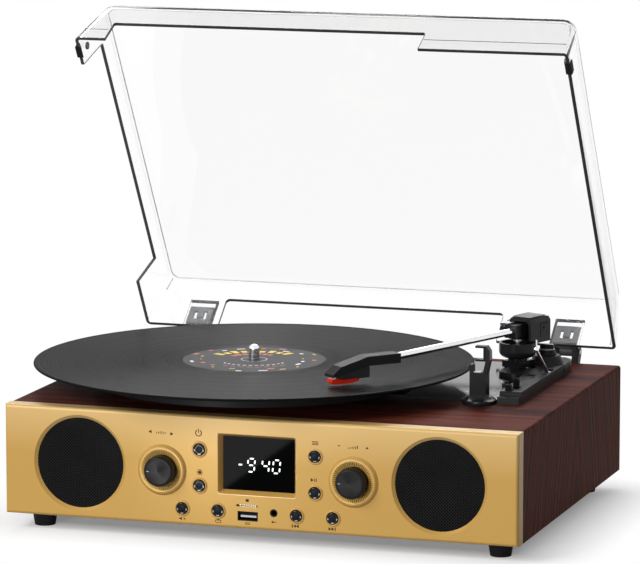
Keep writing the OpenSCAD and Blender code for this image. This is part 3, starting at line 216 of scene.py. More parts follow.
def wood():
    m, t, b = nodes_of("rosewood_film")
    x, y, z = split(t, coords(t))
    normal = split(t, t.nodes.new("ShaderNodeNewGeometry").outputs["True Normal"])
    up = span(t, normal[2], 0.0, 1.0, 0.45, 0.75)
    rear = span(t, math_node(t, "ABSOLUTE", normal[1]), 0.0, 1.0, 0.5, 0.6)
    # The top's colours are set darker than the sides': painted shade against the stronger light on
    # the top. The grain and figure are the veneer's own.
    top_c, top_f, top_d = wood_color(t, x, y, z, [
        (0.39, (0.010, 0.003, 0.003)), (0.46, (0.036, 0.008, 0.006)),
        (0.54, (0.092, 0.018, 0.011)), (0.63, (0.170, 0.045, 0.026))], False)
    across = mix(t, rear, y, x)
    side_c, side_f, side_d = wood_color(t, z, across, x, [
        (0.38, (0.026, 0.011, 0.010)), (0.46, (0.074, 0.021, 0.015)),
        (0.54, (0.150, 0.034, 0.019)), (0.63, (0.245, 0.070, 0.038))], True)
    t.links.new(mix(t, up, side_c, top_c), b.inputs["Base Color"])
    fibre = mix(t, up, side_f, top_f)
    t.links.new(span(t, fibre, 0.42, 0.58), b.inputs["Roughness"])
    b.inputs["IOR"].default_value = 1.06
    bump(t, b, math_node(t, "SUBTRACT", fibre, mix(t, up, side_d, top_d)), 0.35, 0.0002)
    return m


def gold(name="gold_lacquer", cut=1.0, coat=0.0):
    """Satin gold lacquer with fine flake; its colour is painted paler towards the panel's top
    (metres over the floor), a painted highlight.
    """
    painted_light_from, painted_light_to = 0.055, 0.088
    m, t, b = nodes_of(name)
    v = coords(t)
    flake = noise(t, v, 4200, 2, 0.6)
    # cut lifts the whole colour: a value over 1 makes a lighter copy of the lacquer, which is
    # painted light.
    low = mix(t, noise(t, v, 14, 3), tuple(cut * k for k in (0.52, 0.305, 0.072)),
              tuple(cut * k for k in (0.555, 0.33, 0.082)))
    # Painted highlight: the lacquer's colour turns paler gold towards the panel's top.
    high = span(t, split(t, v)[2], 0.0, 1.0, painted_light_from, painted_light_to)
    t.links.new(mix(t, high, low, (0.68, 0.455, 0.18)), b.inputs["Base Color"])
    b.inputs["Metallic"].default_value = 0.12
    b.inputs["IOR"].default_value = 1.3
    b.inputs["Coat Weight"].default_value = coat
    b.inputs["Coat Roughness"].default_value = 0.28
    t.links.new(span(t, flake, 0.32, 0.44), b.inputs["Roughness"])
    bump(t, b, flake, 0.12, 0.00005)
    return m


def clear(name, level):
    """Clear acrylic, with a lower IOR than the real one's 1.49."""
    tint = (level, level, level)
    m, t, b = nodes_of(name)
    b.inputs["Transmission Weight"].default_value = 1.0
    b.inputs["IOR"].default_value = 1.36
    b.inputs["Roughness"].default_value = 0.0
    t.links.new(mix(t, noise(t, coords(t), 12, 2), tint, tuple(k * 0.997 for k in tint)),
                b.inputs["Base Color"])
    return m


def turned(name, color, rough, metal=0.0, axis="Z", rings=2600, aniso=0.6, spec=0.5):
    """A turned face: fine rings round the piece's own axis, with the sheen they give."""
    m, t, b = nodes_of(name)
    d = t.nodes.new("ShaderNodeVectorMath")
    d.operation = "LENGTH"
    t.links.new(stretched(t, coords(t), (1, 1, 0) if axis == "Z" else (1, 0, 1)), d.inputs[0])
    r = d.outputs["Value"]
    lines = math_node(t, "SINE", math_node(t, "MULTIPLY", r, float(rings) * 2 * math.pi))
    uneven = streaks(t, r, Scale=900.0, Detail=4.0)
    t.links.new(mix(t, uneven, tuple(k * 0.8 for k in color), tuple(k * 1.25 for k in color)),
                b.inputs["Base Color"])
    t.links.new(span(t, uneven, rough * 0.8, rough * 1.25), b.inputs["Roughness"])
    b.inputs["Metallic"].default_value = metal
    b.inputs["Specular IOR Level"].default_value = spec
    b.inputs["Anisotropic"].default_value = aniso
    g = t.nodes.new("ShaderNodeTangent")
    g.direction_type = "RADIAL"
    g.axis = axis
    t.links.new(g.outputs[0], b.inputs["Tangent"])
    bump(t, b, math_node(t, "ADD", lines, uneven), 0.05, 0.00005)
    return m


def glow(name, color, strength):
    m, _, b = nodes_of(name)
    b.inputs["Base Color"].default_value = (*color, 1)
    b.inputs["Emission Color"].default_value = (*color, 1)
    b.inputs["Emission Strength"].default_value = strength
    return m


def dark_film():
    """Near-black glass with hardly any reflection of the bright room."""
    m, t, b = nodes_of("display_film")
    fine = noise(t, coords(t), 2500, 2)
    t.links.new(mix(t, fine, (0.0006, 0.0006, 0.0006), (0.001, 0.001, 0.001)),
                b.inputs["Base Color"])
    t.links.new(span(t, fine, 0.05, 0.08), b.inputs["Roughness"])
    b.inputs["IOR"].default_value = 1.08
    return m


def shaded_by_facing(name, side, top):
    """A dark moulding, painted satin grey on its sides and darker on its top by the way each face
    looks: painted shade.
    """
    m, t, b = nodes_of(name)
    up = split(t, t.nodes.new("ShaderNodeNewGeometry").outputs["Normal"])[2]
    v = coords(t)
    wide = noise(t, v, 60, 3)
    # Painted shade: the colour follows how far each face looks up.
    edge = ramp(t, up, [(0.3, side), (0.9, top)])
    t.links.new(mix(t, math_node(t, "MULTIPLY", wide, 0.5), edge, tuple(k * 0.8 for k in top)),
                b.inputs["Base Color"])
    t.links.new(span(t, wide, 0.30, 0.42), b.inputs["Roughness"])
    b.inputs["Specular IOR Level"].default_value = 0.3
    bump(t, b, noise(t, v, 1100, 3), 0.2, 0.0001)
    return m


M = {
    "wood": wood(),
    "gold": gold(),
    # A copy 1.35 times lighter, for the knob dishes that lie in shade: painted light.
    "gold_painted_light": gold("gold_painted_light", 1.35),
    # A copy 1.2 times lighter with a clear coat, for the collars, the display frame and the button
    # rims: the coat's gloss is real, the lighter colour is a painted highlight.
    "gold_rim": gold("gold_rim", 1.2, 1.0),
    "clear": clear("clear_acrylic", 0.999),
    # The front wall's tint, greyer than the rest of the lid: painted shade.
    "wall": clear("clear_acrylic_wall_painted_shade", 0.88),
    "black": plain("satin_black", (0.013, 0.013, 0.014), 0.42, spec=0.2),
    "gloss": plain("gloss_black", (0.008, 0.008, 0.009), 0.12, grain=500, depth=0.05, spec=0.35),
    "deck": plain("deck_black", (0.008, 0.008, 0.009), 0.08, grain=400, depth=0.03, vary=0.04,
                  spec=0.5),
    "arm": plain("arm_plastic", (0.016, 0.016, 0.018), 0.26, spec=0.4),
    "rest": plain("rest_plastic", (0.012, 0.012, 0.013), 0.22, spec=0.35),
    # The arm's base strip: sides painted lighter and top darker, which is painted shade.
    "strip": shaded_by_facing("base_plastic_painted_shade", (0.020, 0.021, 0.022), (0.007, 0.007, 0.008)),
    # Dark grey on the clear acrylic's cut edges, steps and dark ribs: painted shade where they look
    # dark. The bumper discs wear it too.
    "edge": plain("acrylic_painted_edge_shade", (0.045, 0.047, 0.050), 0.3, grain=1200, depth=0.1, spec=0.2),
    # Near black on the data port and the card socket: painted shade of their recesses.
    "painted_recess_shade": plain("port_painted_shade", (0.006, 0.006, 0.006), 0.5, spec=0.05),
    # Grey lines where the lid's inner folds show: painted reflection.
    "painted_fold_line": plain("acrylic_painted_fold_line", (0.50, 0.505, 0.51), 0.3, spec=0.2),
    "pale": plain("pale_plastic", (0.52, 0.53, 0.54), 0.3),
    "pad": plain("pad_grey", (0.30, 0.30, 0.31), 0.5, grain=2200, depth=0.6),
    "chrome": plain("chrome", (0.82, 0.83, 0.85), 0.06, 1.0, 300, 0.03, 0.05, spread=0.03),
    "steel": plain("steel", (0.45, 0.46, 0.48), 0.3, 1.0),
    "brass": plain("brass", (0.55, 0.38, 0.15), 0.28, 1.0),
    "rubber": plain("rubber", (0.014, 0.014, 0.015), 0.62, grain=700, depth=0.5, spec=0.2),
    "felt": plain("felt", (0.020, 0.020, 0.022), 0.95, grain=1600, depth=0.9, spec=0.05),
    "board": plain("circuit_board", (0.02, 0.10, 0.045), 0.35),
    "fibre": plain("fibreboard", (0.050, 0.034, 0.024), 0.75, grain=1300, depth=0.6),
    "grey": plain("grey_plastic", (0.030, 0.031, 0.033), 0.4, spec=0.2),
    "hinge": plain("hinge_plastic", (0.095, 0.097, 0.10), 0.35, spec=0.15),
    "red": plain("red_plastic", (0.90, 0.030, 0.008), 0.3, spec=0.2),
    "mesh": plain("mesh_black", (0.018, 0.018, 0.019), 0.42, grain=1500, depth=0.2, spec=0.1),
    "cone": plain("speaker_cone", (0.0015, 0.0015, 0.0015), 0.8, spec=0.0),
    "ink": plain("brown_ink", (0.030, 0.014, 0.007), 0.6, grain=2000, depth=0.1, spec=0.1),
    "ink_soft": plain("tick_ink", (0.030, 0.014, 0.003), 0.55, grain=2000, depth=0.1, spec=0.1),
    "white_ink": plain("white_ink", (0.75, 0.76, 0.78), 0.5, grain=2000, depth=0.1),
    "cap": plain("button_cap", (0.014, 0.015, 0.018), 0.3, spec=0.12),
    "digit": glow("display_digit", (0.86, 0.93, 1.0), 1.0),
    "film": dark_film(),
    "knob_face": turned("knob_face", (0.013, 0.013, 0.014), 0.3, 0.1, "Y", aniso=0.85, spec=0.35),
    "knob_side": plain("knob_side", (0.012, 0.011, 0.011), 0.30, spec=0.3),
    "ring": plain("button_ring", (0.004, 0.004, 0.004), 0.12, grain=500, depth=0.03, spec=0.25),
    # Light grey arcs on the button rings: painted glints.
    "painted_glint": plain("ring_painted_glint", (0.42, 0.43, 0.45), 0.25, grain=500, depth=0.03),
    "vinyl": turned("vinyl", (0.0062, 0.0062, 0.0066), 0.40, rings=1400, aniso=0.8, spec=0.022),
    "label": plain("label_paper", (0.022, 0.022, 0.025), 0.55, grain=1800, depth=0.3),
    "label_gold": plain("label_gold", (0.72, 0.52, 0.04), 0.5, grain=1800, depth=0.2),
    "label_red": plain("label_red", (0.46, 0.10, 0.05), 0.5, grain=1800, depth=0.2),
    "label_pale": plain("label_pale", (0.62, 0.62, 0.60), 0.5, grain=1800, depth=0.2),
}


def low_gloss(*keys, ior=1.28):
    """A weaker reflection than common plastic's, set on the shader's own socket."""
    for key in keys:
        M[key].node_tree.nodes["Principled BSDF"].inputs["IOR"].default_value = ior


low_gloss("arm", "rest", "strip", "gloss", "black", "rubber", "grey", "cap", "hinge", "mesh",
          "knob_face", "knob_side")
low_gloss("label", "label_gold", "label_red", ior=1.17)


# Shapes

def to_row(v):
    return ((v[0] - OX) * MM, (v[1] - OY) * MM, v[2] * MM)


def new_object(name, data):
    o = bpy.data.objects.new(name, data)
    bpy.context.scene.collection.objects.link(o)
    return o


def new_mesh(name, shapes, place=None, home=Vector((0, 0, 0))):
    """A mesh from (vertices, faces) pairs in millimetres, with its normals outward."""
    place = place or Matrix.Identity(4)
    verts, faces = [], []
    for vs, fs in shapes:
        n = len(verts)
        verts += [tuple(Vector(to_row(place @ Vector(v))) - home) for v in vs]
        faces += [[i + n for i in f] for f in fs]
    mesh = bpy.data.meshes.new(name)
    mesh.from_pydata(verts, [], faces)
    mesh.validate()
    b = bmesh.new()
    b.from_mesh(mesh)
    bmesh.ops.recalc_face_normals(b, faces=b.faces)
    b.to_mesh(mesh)
    b.free()
    return mesh


def piece(name, shapes, mat, body, swaps=(), place=None, smooth=35.0, bevel=0.0,
          centre=(OX, OY, 0)):
    """One object of one material, riding on a CAD body; its own middle is at centre."""
    home = Vector(to_row(centre))
    mesh = new_mesh(name, shapes, place, home)
    mesh.materials.append(M[mat])
    soft(mesh, smooth)
    o = new_object(name, mesh)
    o.location = home
    if bevel:
        round_edges(o, bevel)
    bpy.context.view_layer.update()
    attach(o, body)
    if swaps:
        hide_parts(*swaps)


def soft(mesh, degrees):
    for p in mesh.polygons:
        p.use_smooth = True
    mesh.set_sharp_from_angle(angle=math.radians(degrees))


def round_edges(o, width, angle=40):
    m = o.modifiers.new("round", "BEVEL")
    m.width = width * MM
    m.segments = 2
    m.limit_method = "ANGLE"
    m.angle_limit = math.radians(angle)
    m.harden_normals = True


def lathe(profile, n=96):
    """(radius, z) pairs turned round z; radius 0 closes an end."""
    vs, fs, rows = [], [], []
    for r, z in profile:
        if r < 1e-6:
            rows.append([len(vs)])
            vs.append((0, 0, z))
        else:
            rows.append(list(range(len(vs), len(vs) + n)))
            vs += [(r * math.cos(2 * math.pi * i / n), r * math.sin(2 * math.pi * i / n), z)
                   for i in range(n)]
    for a, b in zip(rows, rows[1:]):
        for i in range(n):
            j = (i + 1) % n
            if len(a) == 1 and len(b) == 1:
                continue
            if len(a) == 1:
                fs.append([a[0], b[i], b[j]])
            elif len(b) == 1:
                fs.append([a[i], b[0], a[j]])
            else:
                fs.append([a[i], b[i], b[j], a[j]])
    return vs, fs


def loft(loops):
    """A skin through loops of equally many points, open at both ends."""
    n = len(loops[0])
    vs = [p for loop in loops for p in loop]
    fs = []
    for k in range(len(loops) - 1):
        for i in range(n):
            j = (i + 1) % n
            fs.append([k * n + i, k * n + j, (k + 1) * n + j, (k + 1) * n + i])
    return vs, fs


def hoop(loops):
    """The same, with its last loop joined to its first."""
    vs, fs = loft(loops)
    n = len(loops[0])
    last = (len(loops) - 1) * n
    return vs, fs + [[last + i, last + (i + 1) % n, (i + 1) % n, i] for i in range(n)]


def moved(shape, m):
    return [tuple(m @ Vector(v)) for v in shape[0]], shape[1]


def prism(points, z0, z1):
    """A flat outline, given against the clock, drawn out from z0 to z1."""
    n = len(points)
    vs = [(x, y, z0) for x, y in points] + [(x, y, z1) for x, y in points]
    fs = [list(range(n))[::-1], list(range(n, 2 * n))]
    fs += [[i, (i + 1) % n, (i + 1) % n + n, i + n] for i in range(n)]
    return vs, fs


def box(x0, y0, z0, x1, y1, z1):
    return prism([(x0, y0), (x1, y0), (x1, y1), (x0, y1)], z0, z1)


def rounded(w, h, r, n=6, cx=0.0, cy=0.0):
    """The points of a rectangle with round corners."""
    out = []
    for k, (sx, sy) in enumerate(((1, 1), (-1, 1), (-1, -1), (1, -1))):
        for i in range(n + 1):
            a = math.pi / 2 * (k + i / n)
            out.append((cx + sx * (w / 2 - r) + r * math.cos(a),
                        cy + sy * (h / 2 - r) + r * math.sin(a)))
    return out


def circle(r, n=32, cx=0.0, cy=0.0, a0=0.0, a1=360.0):
    full = a1 - a0 >= 360
    k = n if full else n + 1
    return [(cx + r * math.cos(math.radians(a0 + (a1 - a0) * i / n)),
             cy + r * math.sin(math.radians(a0 + (a1 - a0) * i / n))) for i in range(k)]


def arc_band(r0, r1, a0, a1, z0, z1, n=24, cx=0.0, cy=0.0):
    return prism(circle(r1, n, cx, cy, a0, a1) + circle(r0, n, cx, cy, a0, a1)[::-1], z0, z1)


def rod(a, b, r, n=24):
    a, b = Vector(a), Vector(b)
    m = Matrix.Translation(a) @ (b - a).to_track_quat("Z", "Y").to_matrix().to_4x4()
    return moved(prism(circle(r, n), 0, (b - a).length), m)


def on_panel(x, z, sunk=0.0):
    """Places a shape drawn in x and y, with its z forward out of the panel's face."""
    return shift(x, FACE + sunk, z) @ UPRIGHT


# Looks of the CAD pieces that stay

LOOKS = {
    "wood": ["cabinet"], "fibre": ["base_board"], "gold": ["front_panel"],
    "rubber": ["feet", "drive_belt", "lid_bumpers"],
    "cone": ["speaker_left", "speaker_right"],
    "board": ["control_board", "amplifier_board"], "painted_recess_shade": ["usb_port", "card_socket"],
    "steel": ["tune_encoder", "volume_control", "motor", "hinge_pins",
              "counterweight", "lift_pin", "display_board"],
    "black": ["aux_jack", "rear_plate", "dc_inlet", "hinge_bases", "platter", "headshell",
              "skate_knob"],
    "rest": ["arm_rest", "pivot_tower"],
    "deck": ["deck_plate"], "brass": ["motor_pulley", "bearing_bush"],
    "chrome": ["spindle", "arm_tube", "rca_jacks", "cue_lever"],
    "felt": ["slip_mat"], "strip": ["arm_base"], "arm": ["arm_housing", "arm_block"],
    "grey": ["cartridge"], "red": ["stylus"],
    "gloss": ["rest_clip", "auto_stop_lever", "speed_lever"], "film": ["display_window"],
    "hinge": ["hinge_leaves"],
}
for key, names in LOOKS.items():
    for node in names:
        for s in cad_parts[node].material_slots:
            s.material = M[key]


def cad_edges(width, *names):
    """Joins each CAD mesh's flat facets again and rounds its sharp edges a little."""
    for name in names:
        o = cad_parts[name]
        o.modifiers.new("weld", "WELD").merge_threshold = 0.00001
        d = o.modifiers.new("flat", "DECIMATE")
        d.decimate_type = "DISSOLVE"
        d.angle_limit = math.radians(1.5)
        round_edges(o, width)


cad_edges(0.6, "arm_base")
cad_edges(0.35, "arm_block", "arm_rest", "headshell", "auto_stop_lever", "speed_lever",
          "cartridge", "stylus", "hinge_leaves", "hinge_bases")


# Speaker meshes: two families of crossing strands in a turned ring

GRILLE_X, GRILLE_Z, GRILLE_R, GRILLE_SUNK = 125, 48.7, 31.9, 1.7
STRAND_PITCH, STRAND_W, STRAND_T = 1.5, 0.44, 0.35


def strands(r, angle, z):
    """Flat parallel strands that end on a circle."""
    out = []
    k = int(r / STRAND_PITCH)
    for i in range(-k, k + 1):
        d = i * STRAND_PITCH
        half = math.sqrt(max(0.0, r * r - d * d))
        if half > 1:
            out.append(moved(box(-half, d - STRAND_W / 2, z, half, d + STRAND_W / 2,
                                 z + STRAND_T), turn(angle, "Z")))
    return out


for side, name in ((-1, "left"), (1, "right")):
    place = on_panel(side * GRILLE_X, GRILLE_Z, GRILLE_SUNK)
    r = GRILLE_R
    piece("mesh_" + name, strands(r - 0.8, 45, -0.31) + strands(r - 0.8, -45, -0.3), "mesh",
          "casing", ["grille_" + name], place)
    ring = lathe([(r - 1.1, -1.2), (r - 1.1, -0.1), (r - 0.7, 0.0), (r - 0.1, -0.1), (r, -0.3),
                  (r, -1.2), (r - 1.1, -1.2)], 128)
    piece("mesh_ring_" + name, [ring], "mesh", "casing", (), place)


# Knobs, with the ticks printed on their dishes

KNOB_X, KNOB_Z, KNOB_R, KNOB_OUT = 66.5, 47.8, 10.2, 8.6
TICKS, LONG_EACH = 60, 5

for side, name, body in ((-1, "tune", "tune_body"), (1, "volume", "volume_body")):
    at = on_panel(side * KNOB_X, KNOB_Z)
    spot = (side * KNOB_X, FACE, KNOB_Z)
    r, h = KNOB_R, KNOB_OUT
    skirt = [(0, -13.0), (2.9, -13.0), (2.9, -0.3), (r - 0.5, -0.3), (r, 0.1), (r, h - 1.25),
             (r - 0.1, h - 0.95), (r - 0.35, h - 0.6), (r - 0.75, h - 0.25), (r - 1.2, h - 0.05),
             (r - 1.5, h - 0.0), (r - 1.62, h - 0.18), (0, h - 0.2)]
    piece(name + "_knob_cap", [lathe(skirt)], "knob_side", body,
          [name + "_knob"], at, centre=spot)
    face = lathe([(0, h - 0.3), (r - 1.8, h - 0.3), (r - 1.8, h - 0.12), (r - 1.9, h - 0.05),
                  (0.3, h - 0.05), (0, h - 0.1)])
    piece(name + "_knob_face", [face], "knob_face", body, (), at, centre=spot)
    piece(name + "_knob_line", [box(-r + 2.2, -0.13, h - 0.12, -r + 3.9, 0.13, h + 0.02)],
          "white_ink", body, (), at, centre=spot)
    ticks = [moved(box(0, -0.2, -0.02, 2.6 if i % LONG_EACH else 2.9, 0.2, 0.04),
                   turn(i * 360 / TICKS, "Z") @ shift(10.95, 0, 0.74) @ turn(-24.61, "Y"))
             for i in range(TICKS)]
    piece(name + "_ticks", ticks, "ink_soft", "casing", (), at)


# Lacquered skins of the panel's curved forms: knob dishes and collars, display frame

COLLAR = [(17.2, 0.0), (17.15, 0.14), (16.6, 0.58), (15.1, 1.86), (14.85, 2.12), (14.5, 2.27),
          (14.1, 2.2), (13.85, 2.04), (13.9, 1.9), (14.7, 2.1), (17.1, 0.0), (17.2, 0.0)]
DISH = [(13.85, 2.04), (10.75, 0.62), (10.75, 0.3), (11.5, -0.45), (13.9, 1.9), (13.85, 2.04)]
for side, name in ((-1, "tune"), (1, "volume")):
    at = on_panel(side * KNOB_X, KNOB_Z)
    # The dishes wear the lighter copy of the lacquer: painted light in their shade.
    piece(name + "_dish_skin", [lathe(DISH, 128)], "gold_painted_light", "casing", (), at,
          smooth=50)
    # The collars wear the coated lacquer, whose lighter colour is a painted highlight.
    piece(name + "_collar_skin", [lathe(COLLAR, 128)], "gold_rim", "casing", (), at,
          smooth=50)

DISPLAY_X, DISPLAY_Z, DISPLAY_W, DISPLAY_H, DISPLAY_SUNK = -0.25, 54.5, 54.5, 40.5, 5.0


def display_outline(inset, r):
    return rounded(DISPLAY_W - 2 * inset, DISPLAY_H - 2 * inset, r, 5, DISPLAY_X, DISPLAY_Z)


FRAME = [(-0.35, 0.0, 1.9), (-0.3, 0.12, 1.85), (0.0, 0.06, 1.6), (0.5, -0.7, 1.4),
         (2.25, -4.85, 0.8), (2.2, -4.95, 0.8), (0.3, -0.6, 1.4), (0.0, -0.05, 1.6)]
# The frame wears the coated lacquer, whose lighter colour is a painted highlight.
piece("display_frame", [hoop([[(x, y, z) for x, y in display_outline(inset, r)]
                              for inset, z, r in FRAME])],
      "gold_rim", "casing", (), on_panel(0, 0), smooth=28)


# Push buttons: a dark bright ring round a slate cap, in a lacquered rim, with painted glints on the
# ring

BUTTONS = {
    "power": (-40.2, 63.1), "record": (-40.2, 38.7), "mute": (-52.4, 22.6),
    "repeat": (-27.3, 22.6), "mode": (40.2, 63.1), "play": (40.2, 38.7),
    "previous": (27.3, 22.6), "next": (52.4, 22.6),
}

for name, (x, z) in BUTTONS.items():
    at = on_panel(x, z)
    ring = lathe([(0, -12.3), (1.7, -12.3), (1.7, -4.7), (5.0, -4.7), (5.0, -3.35), (3.9, -3.35),
                  (3.9, 0.55), (3.8, 0.9), (3.55, 1.15), (3.2, 1.25), (2.95, 1.1), (2.85, 0.8),
                  (0, 0.8)], 64)
    piece(name + "_button_ring", [ring], "ring", name + "_button_body",
          [name + "_button"], at)
    cap = lathe([(0, 0.6), (2.3, 0.6), (2.3, 0.95), (2.15, 1.12), (1.8, 1.22), (1.2, 1.28),
                 (0, 1.3)], 64)
    piece(name + "_button_cap", [cap], "cap", name + "_button_body", (), at)
    # Light arcs on the ring's lower side and edges: painted glints.
    painted_glints = [arc_band(2.75, 3.45, a - w, a + w, 1.0, 1.27, 12)
              for a, w in ((272, 17), (352, 12), (188, 12))]
    rim = lathe([(4.15, -0.2), (4.15, 0.35), (4.35, 0.62), (4.65, 0.68), (5.0, 0.5), (5.5, 0.1),
                 (5.55, 0.0), (5.5, -0.1), (4.3, -0.2), (4.15, -0.2)], 64)
    # The rims wear the coated lacquer, whose lighter colour is a painted highlight.
    piece(name + "_button_rim", [rim], "gold_rim", "casing", (), at, smooth=50)
    piece(name + "_button_painted_glints", painted_glints, "painted_glint", name + "_button_body", (), at)


# Display: lit figures and the dark rim of the glass

SEGMENTS = {"-": "g", "4": "bcfg", "9": "abcdfg", "0": "abcdef"}


def figure(char, x, z, w=4.7, h=8.8, thick=1.0):
    """Up to seven separate strokes, leaning a little to the right."""
    gap, e, tip, lean = 0.95, thick / 2, 0.3, 0.10
    strokes = {"a": (0, h / 2, 0), "g": (0, 0, 0), "d": (0, -h / 2, 0),
               "f": (-w / 2, h / 4, 1), "b": (w / 2, h / 4, 1),
               "e": (-w / 2, -h / 4, 1), "c": (w / 2, -h / 4, 1)}
    out = []
    for key in SEGMENTS[char]:
        cx, cz, up = strokes[key]
        half = (h / 4 if up else w / 2) - gap
        pts = [(-half, e - tip), (-half + tip, e), (half - tip, e), (half, e - tip),
               (half, tip - e), (half - tip, -e), (-half + tip, -e), (-half, tip - e)]
        if up:
            pts = [(-b, a) for a, b in pts]
        pts = [(x + a + cx + lean * (b + cz), z + b + cz) for a, b in pts]
        out.append(prism(pts, 0.0, 0.04))
    return out


lit = (figure("-", -13.3, 53.6, 4.4) + figure("9", -5.8, 53.6) + figure("4", 4.2, 53.6)
       + figure("0", 11.8, 53.6))
behind = on_panel(0, 0, DISPLAY_SUNK)
piece("display_figures", lit, "digit", "casing", (), behind)
piece("display_edge", [prism(display_outline(1.0, 2.0), -1.6, -1.52)], "cone", "casing",
      (), behind)


# Marks printed on the panel: arrows, signs and rows of bars

PRINT = 0.03


def tri(x, z, w, h, way):
    return prism([(x - way * w / 2, z - h / 2), (x + way * w / 2, z), (x - way * w / 2, z + h / 2)],
                 0.0, PRINT)


def rule(x, z, w, h=0.42):
    return prism([(x - w / 2, z - h / 2), (x + w / 2, z - h / 2), (x + w / 2, z + h / 2),
                  (x - w / 2, z + h / 2)], 0.0, PRINT)


def bars(x, z, heights, w=0.5, low=False):
    """Upright bars 1.5 mm apart, centred on one line or standing on it."""
    n = len(heights)
    return [rule(x + (i - (n - 1) / 2) * 1.5, z + (h / 2 if low else 0), w, h)
            for i, h in enumerate(heights)]


def ring_mark(x, z, r0, r1, a0=0.0, a1=359.9, n=32):
    return arc_band(r0, r1, a0, a1, 0.0, PRINT, n, x, z)


def outline_mark(x, z, points):
    return prism([(x + a, z + b) for a, b in points], 0.0, PRINT)


U = BOTTOM      # the marks' heights count from the cabinet's underside
prints = [
    # power
    ring_mark(-40.8, U + 62.6, 1.75, 2.35, 118, 422), rule(-40.8, U + 64.1, 0.55, 2.9),
    # tuning: down and up
    tri(-74.9, U + 61.6, 2.2, 2.3, -1), tri(-59.5, U + 60.9, 2.2, 2.3, 1),
    # volume: less and more
    rule(56.6, U + 59.9, 1.7, 0.5), rule(75.8, U + 59.4, 1.7, 0.5),
    rule(75.8, U + 59.4, 0.5, 1.7),
    # play and pause
    tri(38.2, U + 35.9, 2.0, 2.4, 1), rule(39.9, U + 35.9, 0.5, 2.3),
    rule(41.0, U + 35.9, 0.5, 2.3),
    # previous
    rule(24.4, U + 4.2, 0.6, 2.4), tri(25.9, U + 4.2, 1.9, 2.4, -1),
    tri(27.9, U + 4.2, 1.9, 2.4, -1),
    # next
    tri(50.4, U + 3.9, 1.9, 2.4, 1), tri(52.4, U + 3.9, 1.9, 2.4, 1),
    rule(54.0, U + 3.9, 0.6, 2.4),
    # rows of bars over the two knobs
    *bars(-67.2, U + 61.2, [1.1, 1.6, 2.2, 1.6, 1.1]),
    *bars(66.2, U + 58.4, [0.6, 1.0, 1.4, 1.8, 2.2], 0.6, True),
    # a dot in a ring
    prism(circle(1.15, 24, -40.0, U + 36.2), 0, PRINT),
    ring_mark(-40.0, U + 36.2, 1.65, 2.0),
    # sound off
    outline_mark(-52.9, U + 4.2, [(-1.7, -0.45), (-0.9, -0.45), (0.1, -1.2), (0.1, 1.2),
                                  (-0.9, 0.45), (-1.7, 0.45)]),
    *[moved(box(-0.95, -0.2, 0, 0.95, 0.2, PRINT), shift(-51.0, U + 4.2, 0) @ turn(a, "Z"))
      for a in (45, 135)],
    # a loop with an arrow
    ring_mark(-28.2, U + 4.0, 0.75, 1.15, 90, 270, 16),
    ring_mark(-26.2, U + 4.0, 0.75, 1.15, 270, 450, 16),
    rule(-27.2, U + 4.95, 2.0, 0.4), rule(-27.2, U + 3.05, 2.0, 0.4),
    tri(-27.0, U + 4.95, 1.3, 1.7, 1),
    # list lines
    *[rule(40.2, U + 60.6 + k, 4.4, 0.45) for k in (-0.95, 0, 0.95)],
    # card slot, data port and jack
    outline_mark(-6.9, U + 19.3, [(-1.1, -0.9), (1.1, -0.9), (1.1, 0.9), (-0.5, 0.9),
                                  (-1.1, 0.3)]),
    rule(-6.7, U + 3.3, 2.8, 0.4), rule(-6.7, U + 4.3, 1.6, 0.4),
    rule(-8.1, U + 3.8, 0.4, 1.4), rule(-5.3, U + 3.8, 0.4, 1.4),
    rule(12.2, U + 5.9, 2.4, 0.4), rule(10.7, U + 5.9, 1.2, 1.2),
]
piece("panel_marks", prints, "ink", "casing", (), on_panel(0, 0))

# Sockets: a white tongue in the data port, contacts in the card slot

piece("port_tongue", [box(-12.15, -132.75, 19.0, -1.05, -127.0, 20.4)], "pale", "casing",
      (), bevel=0.2)
pins = [box(-13.0 + i * 1.5, -131.6, 26.55, -12.3 + i * 1.5, -131.3, 27.65) for i in range(8)]
piece("card_contacts", pins, "chrome", "casing", ())


# Record: grooved rings with smooth bands between the tracks, and a plain patterned label

RECORD_R, LABEL_R = 150.8, 50.0
DISC = shift(SPINDLE_X, SPINDLE_Y, 0)
DISC_AT = (SPINDLE_X, SPINDLE_Y, RECORD_Z)
BAND_GAPS = (62.0, 76.5, 93.0, 107.5, 124.0, 138.0)


def record_profile():
    top, low, rim = RECORD_TOP, RECORD_Z, RECORD_R
    rows = [(3.65, low + 0.1), (3.65, top - 0.1), (3.9, top), (LABEL_R + 2.2, top),
            (LABEL_R + 2.8, top - 0.12), (LABEL_R + 8.0, top - 0.25)]
    r = LABEL_R + 9.0
    k = 0
    while r < rim - 4.2:
        smooth = any(abs(r - g) < 0.9 for g in BAND_GAPS)
        rows.append((r, top - (0.38 if smooth else 0.30 + 0.045 * (k % 2))))
        r += 0.95 + 0.25 * math.sin(k * 1.7)
        k += 1
    return rows + [(rim - 3.9, top - 0.32), (rim - 3.2, top - 0.12), (rim - 1.2, top - 0.02),
                   (rim - 0.45, top - 0.16), (rim - 0.05, top - 0.55), (rim, top - 0.9),
                   (rim - 0.05, top - 1.25), (rim - 0.5, top - 1.7), (rim - 1.2, low),
                   (LABEL_R + 2, low), (3.9, low), (3.65, low + 0.1)]


piece("vinyl_disc", [lathe(record_profile(), 256)], "vinyl", "platter_body",
      ["record"], DISC, smooth=60, centre=DISC_AT)

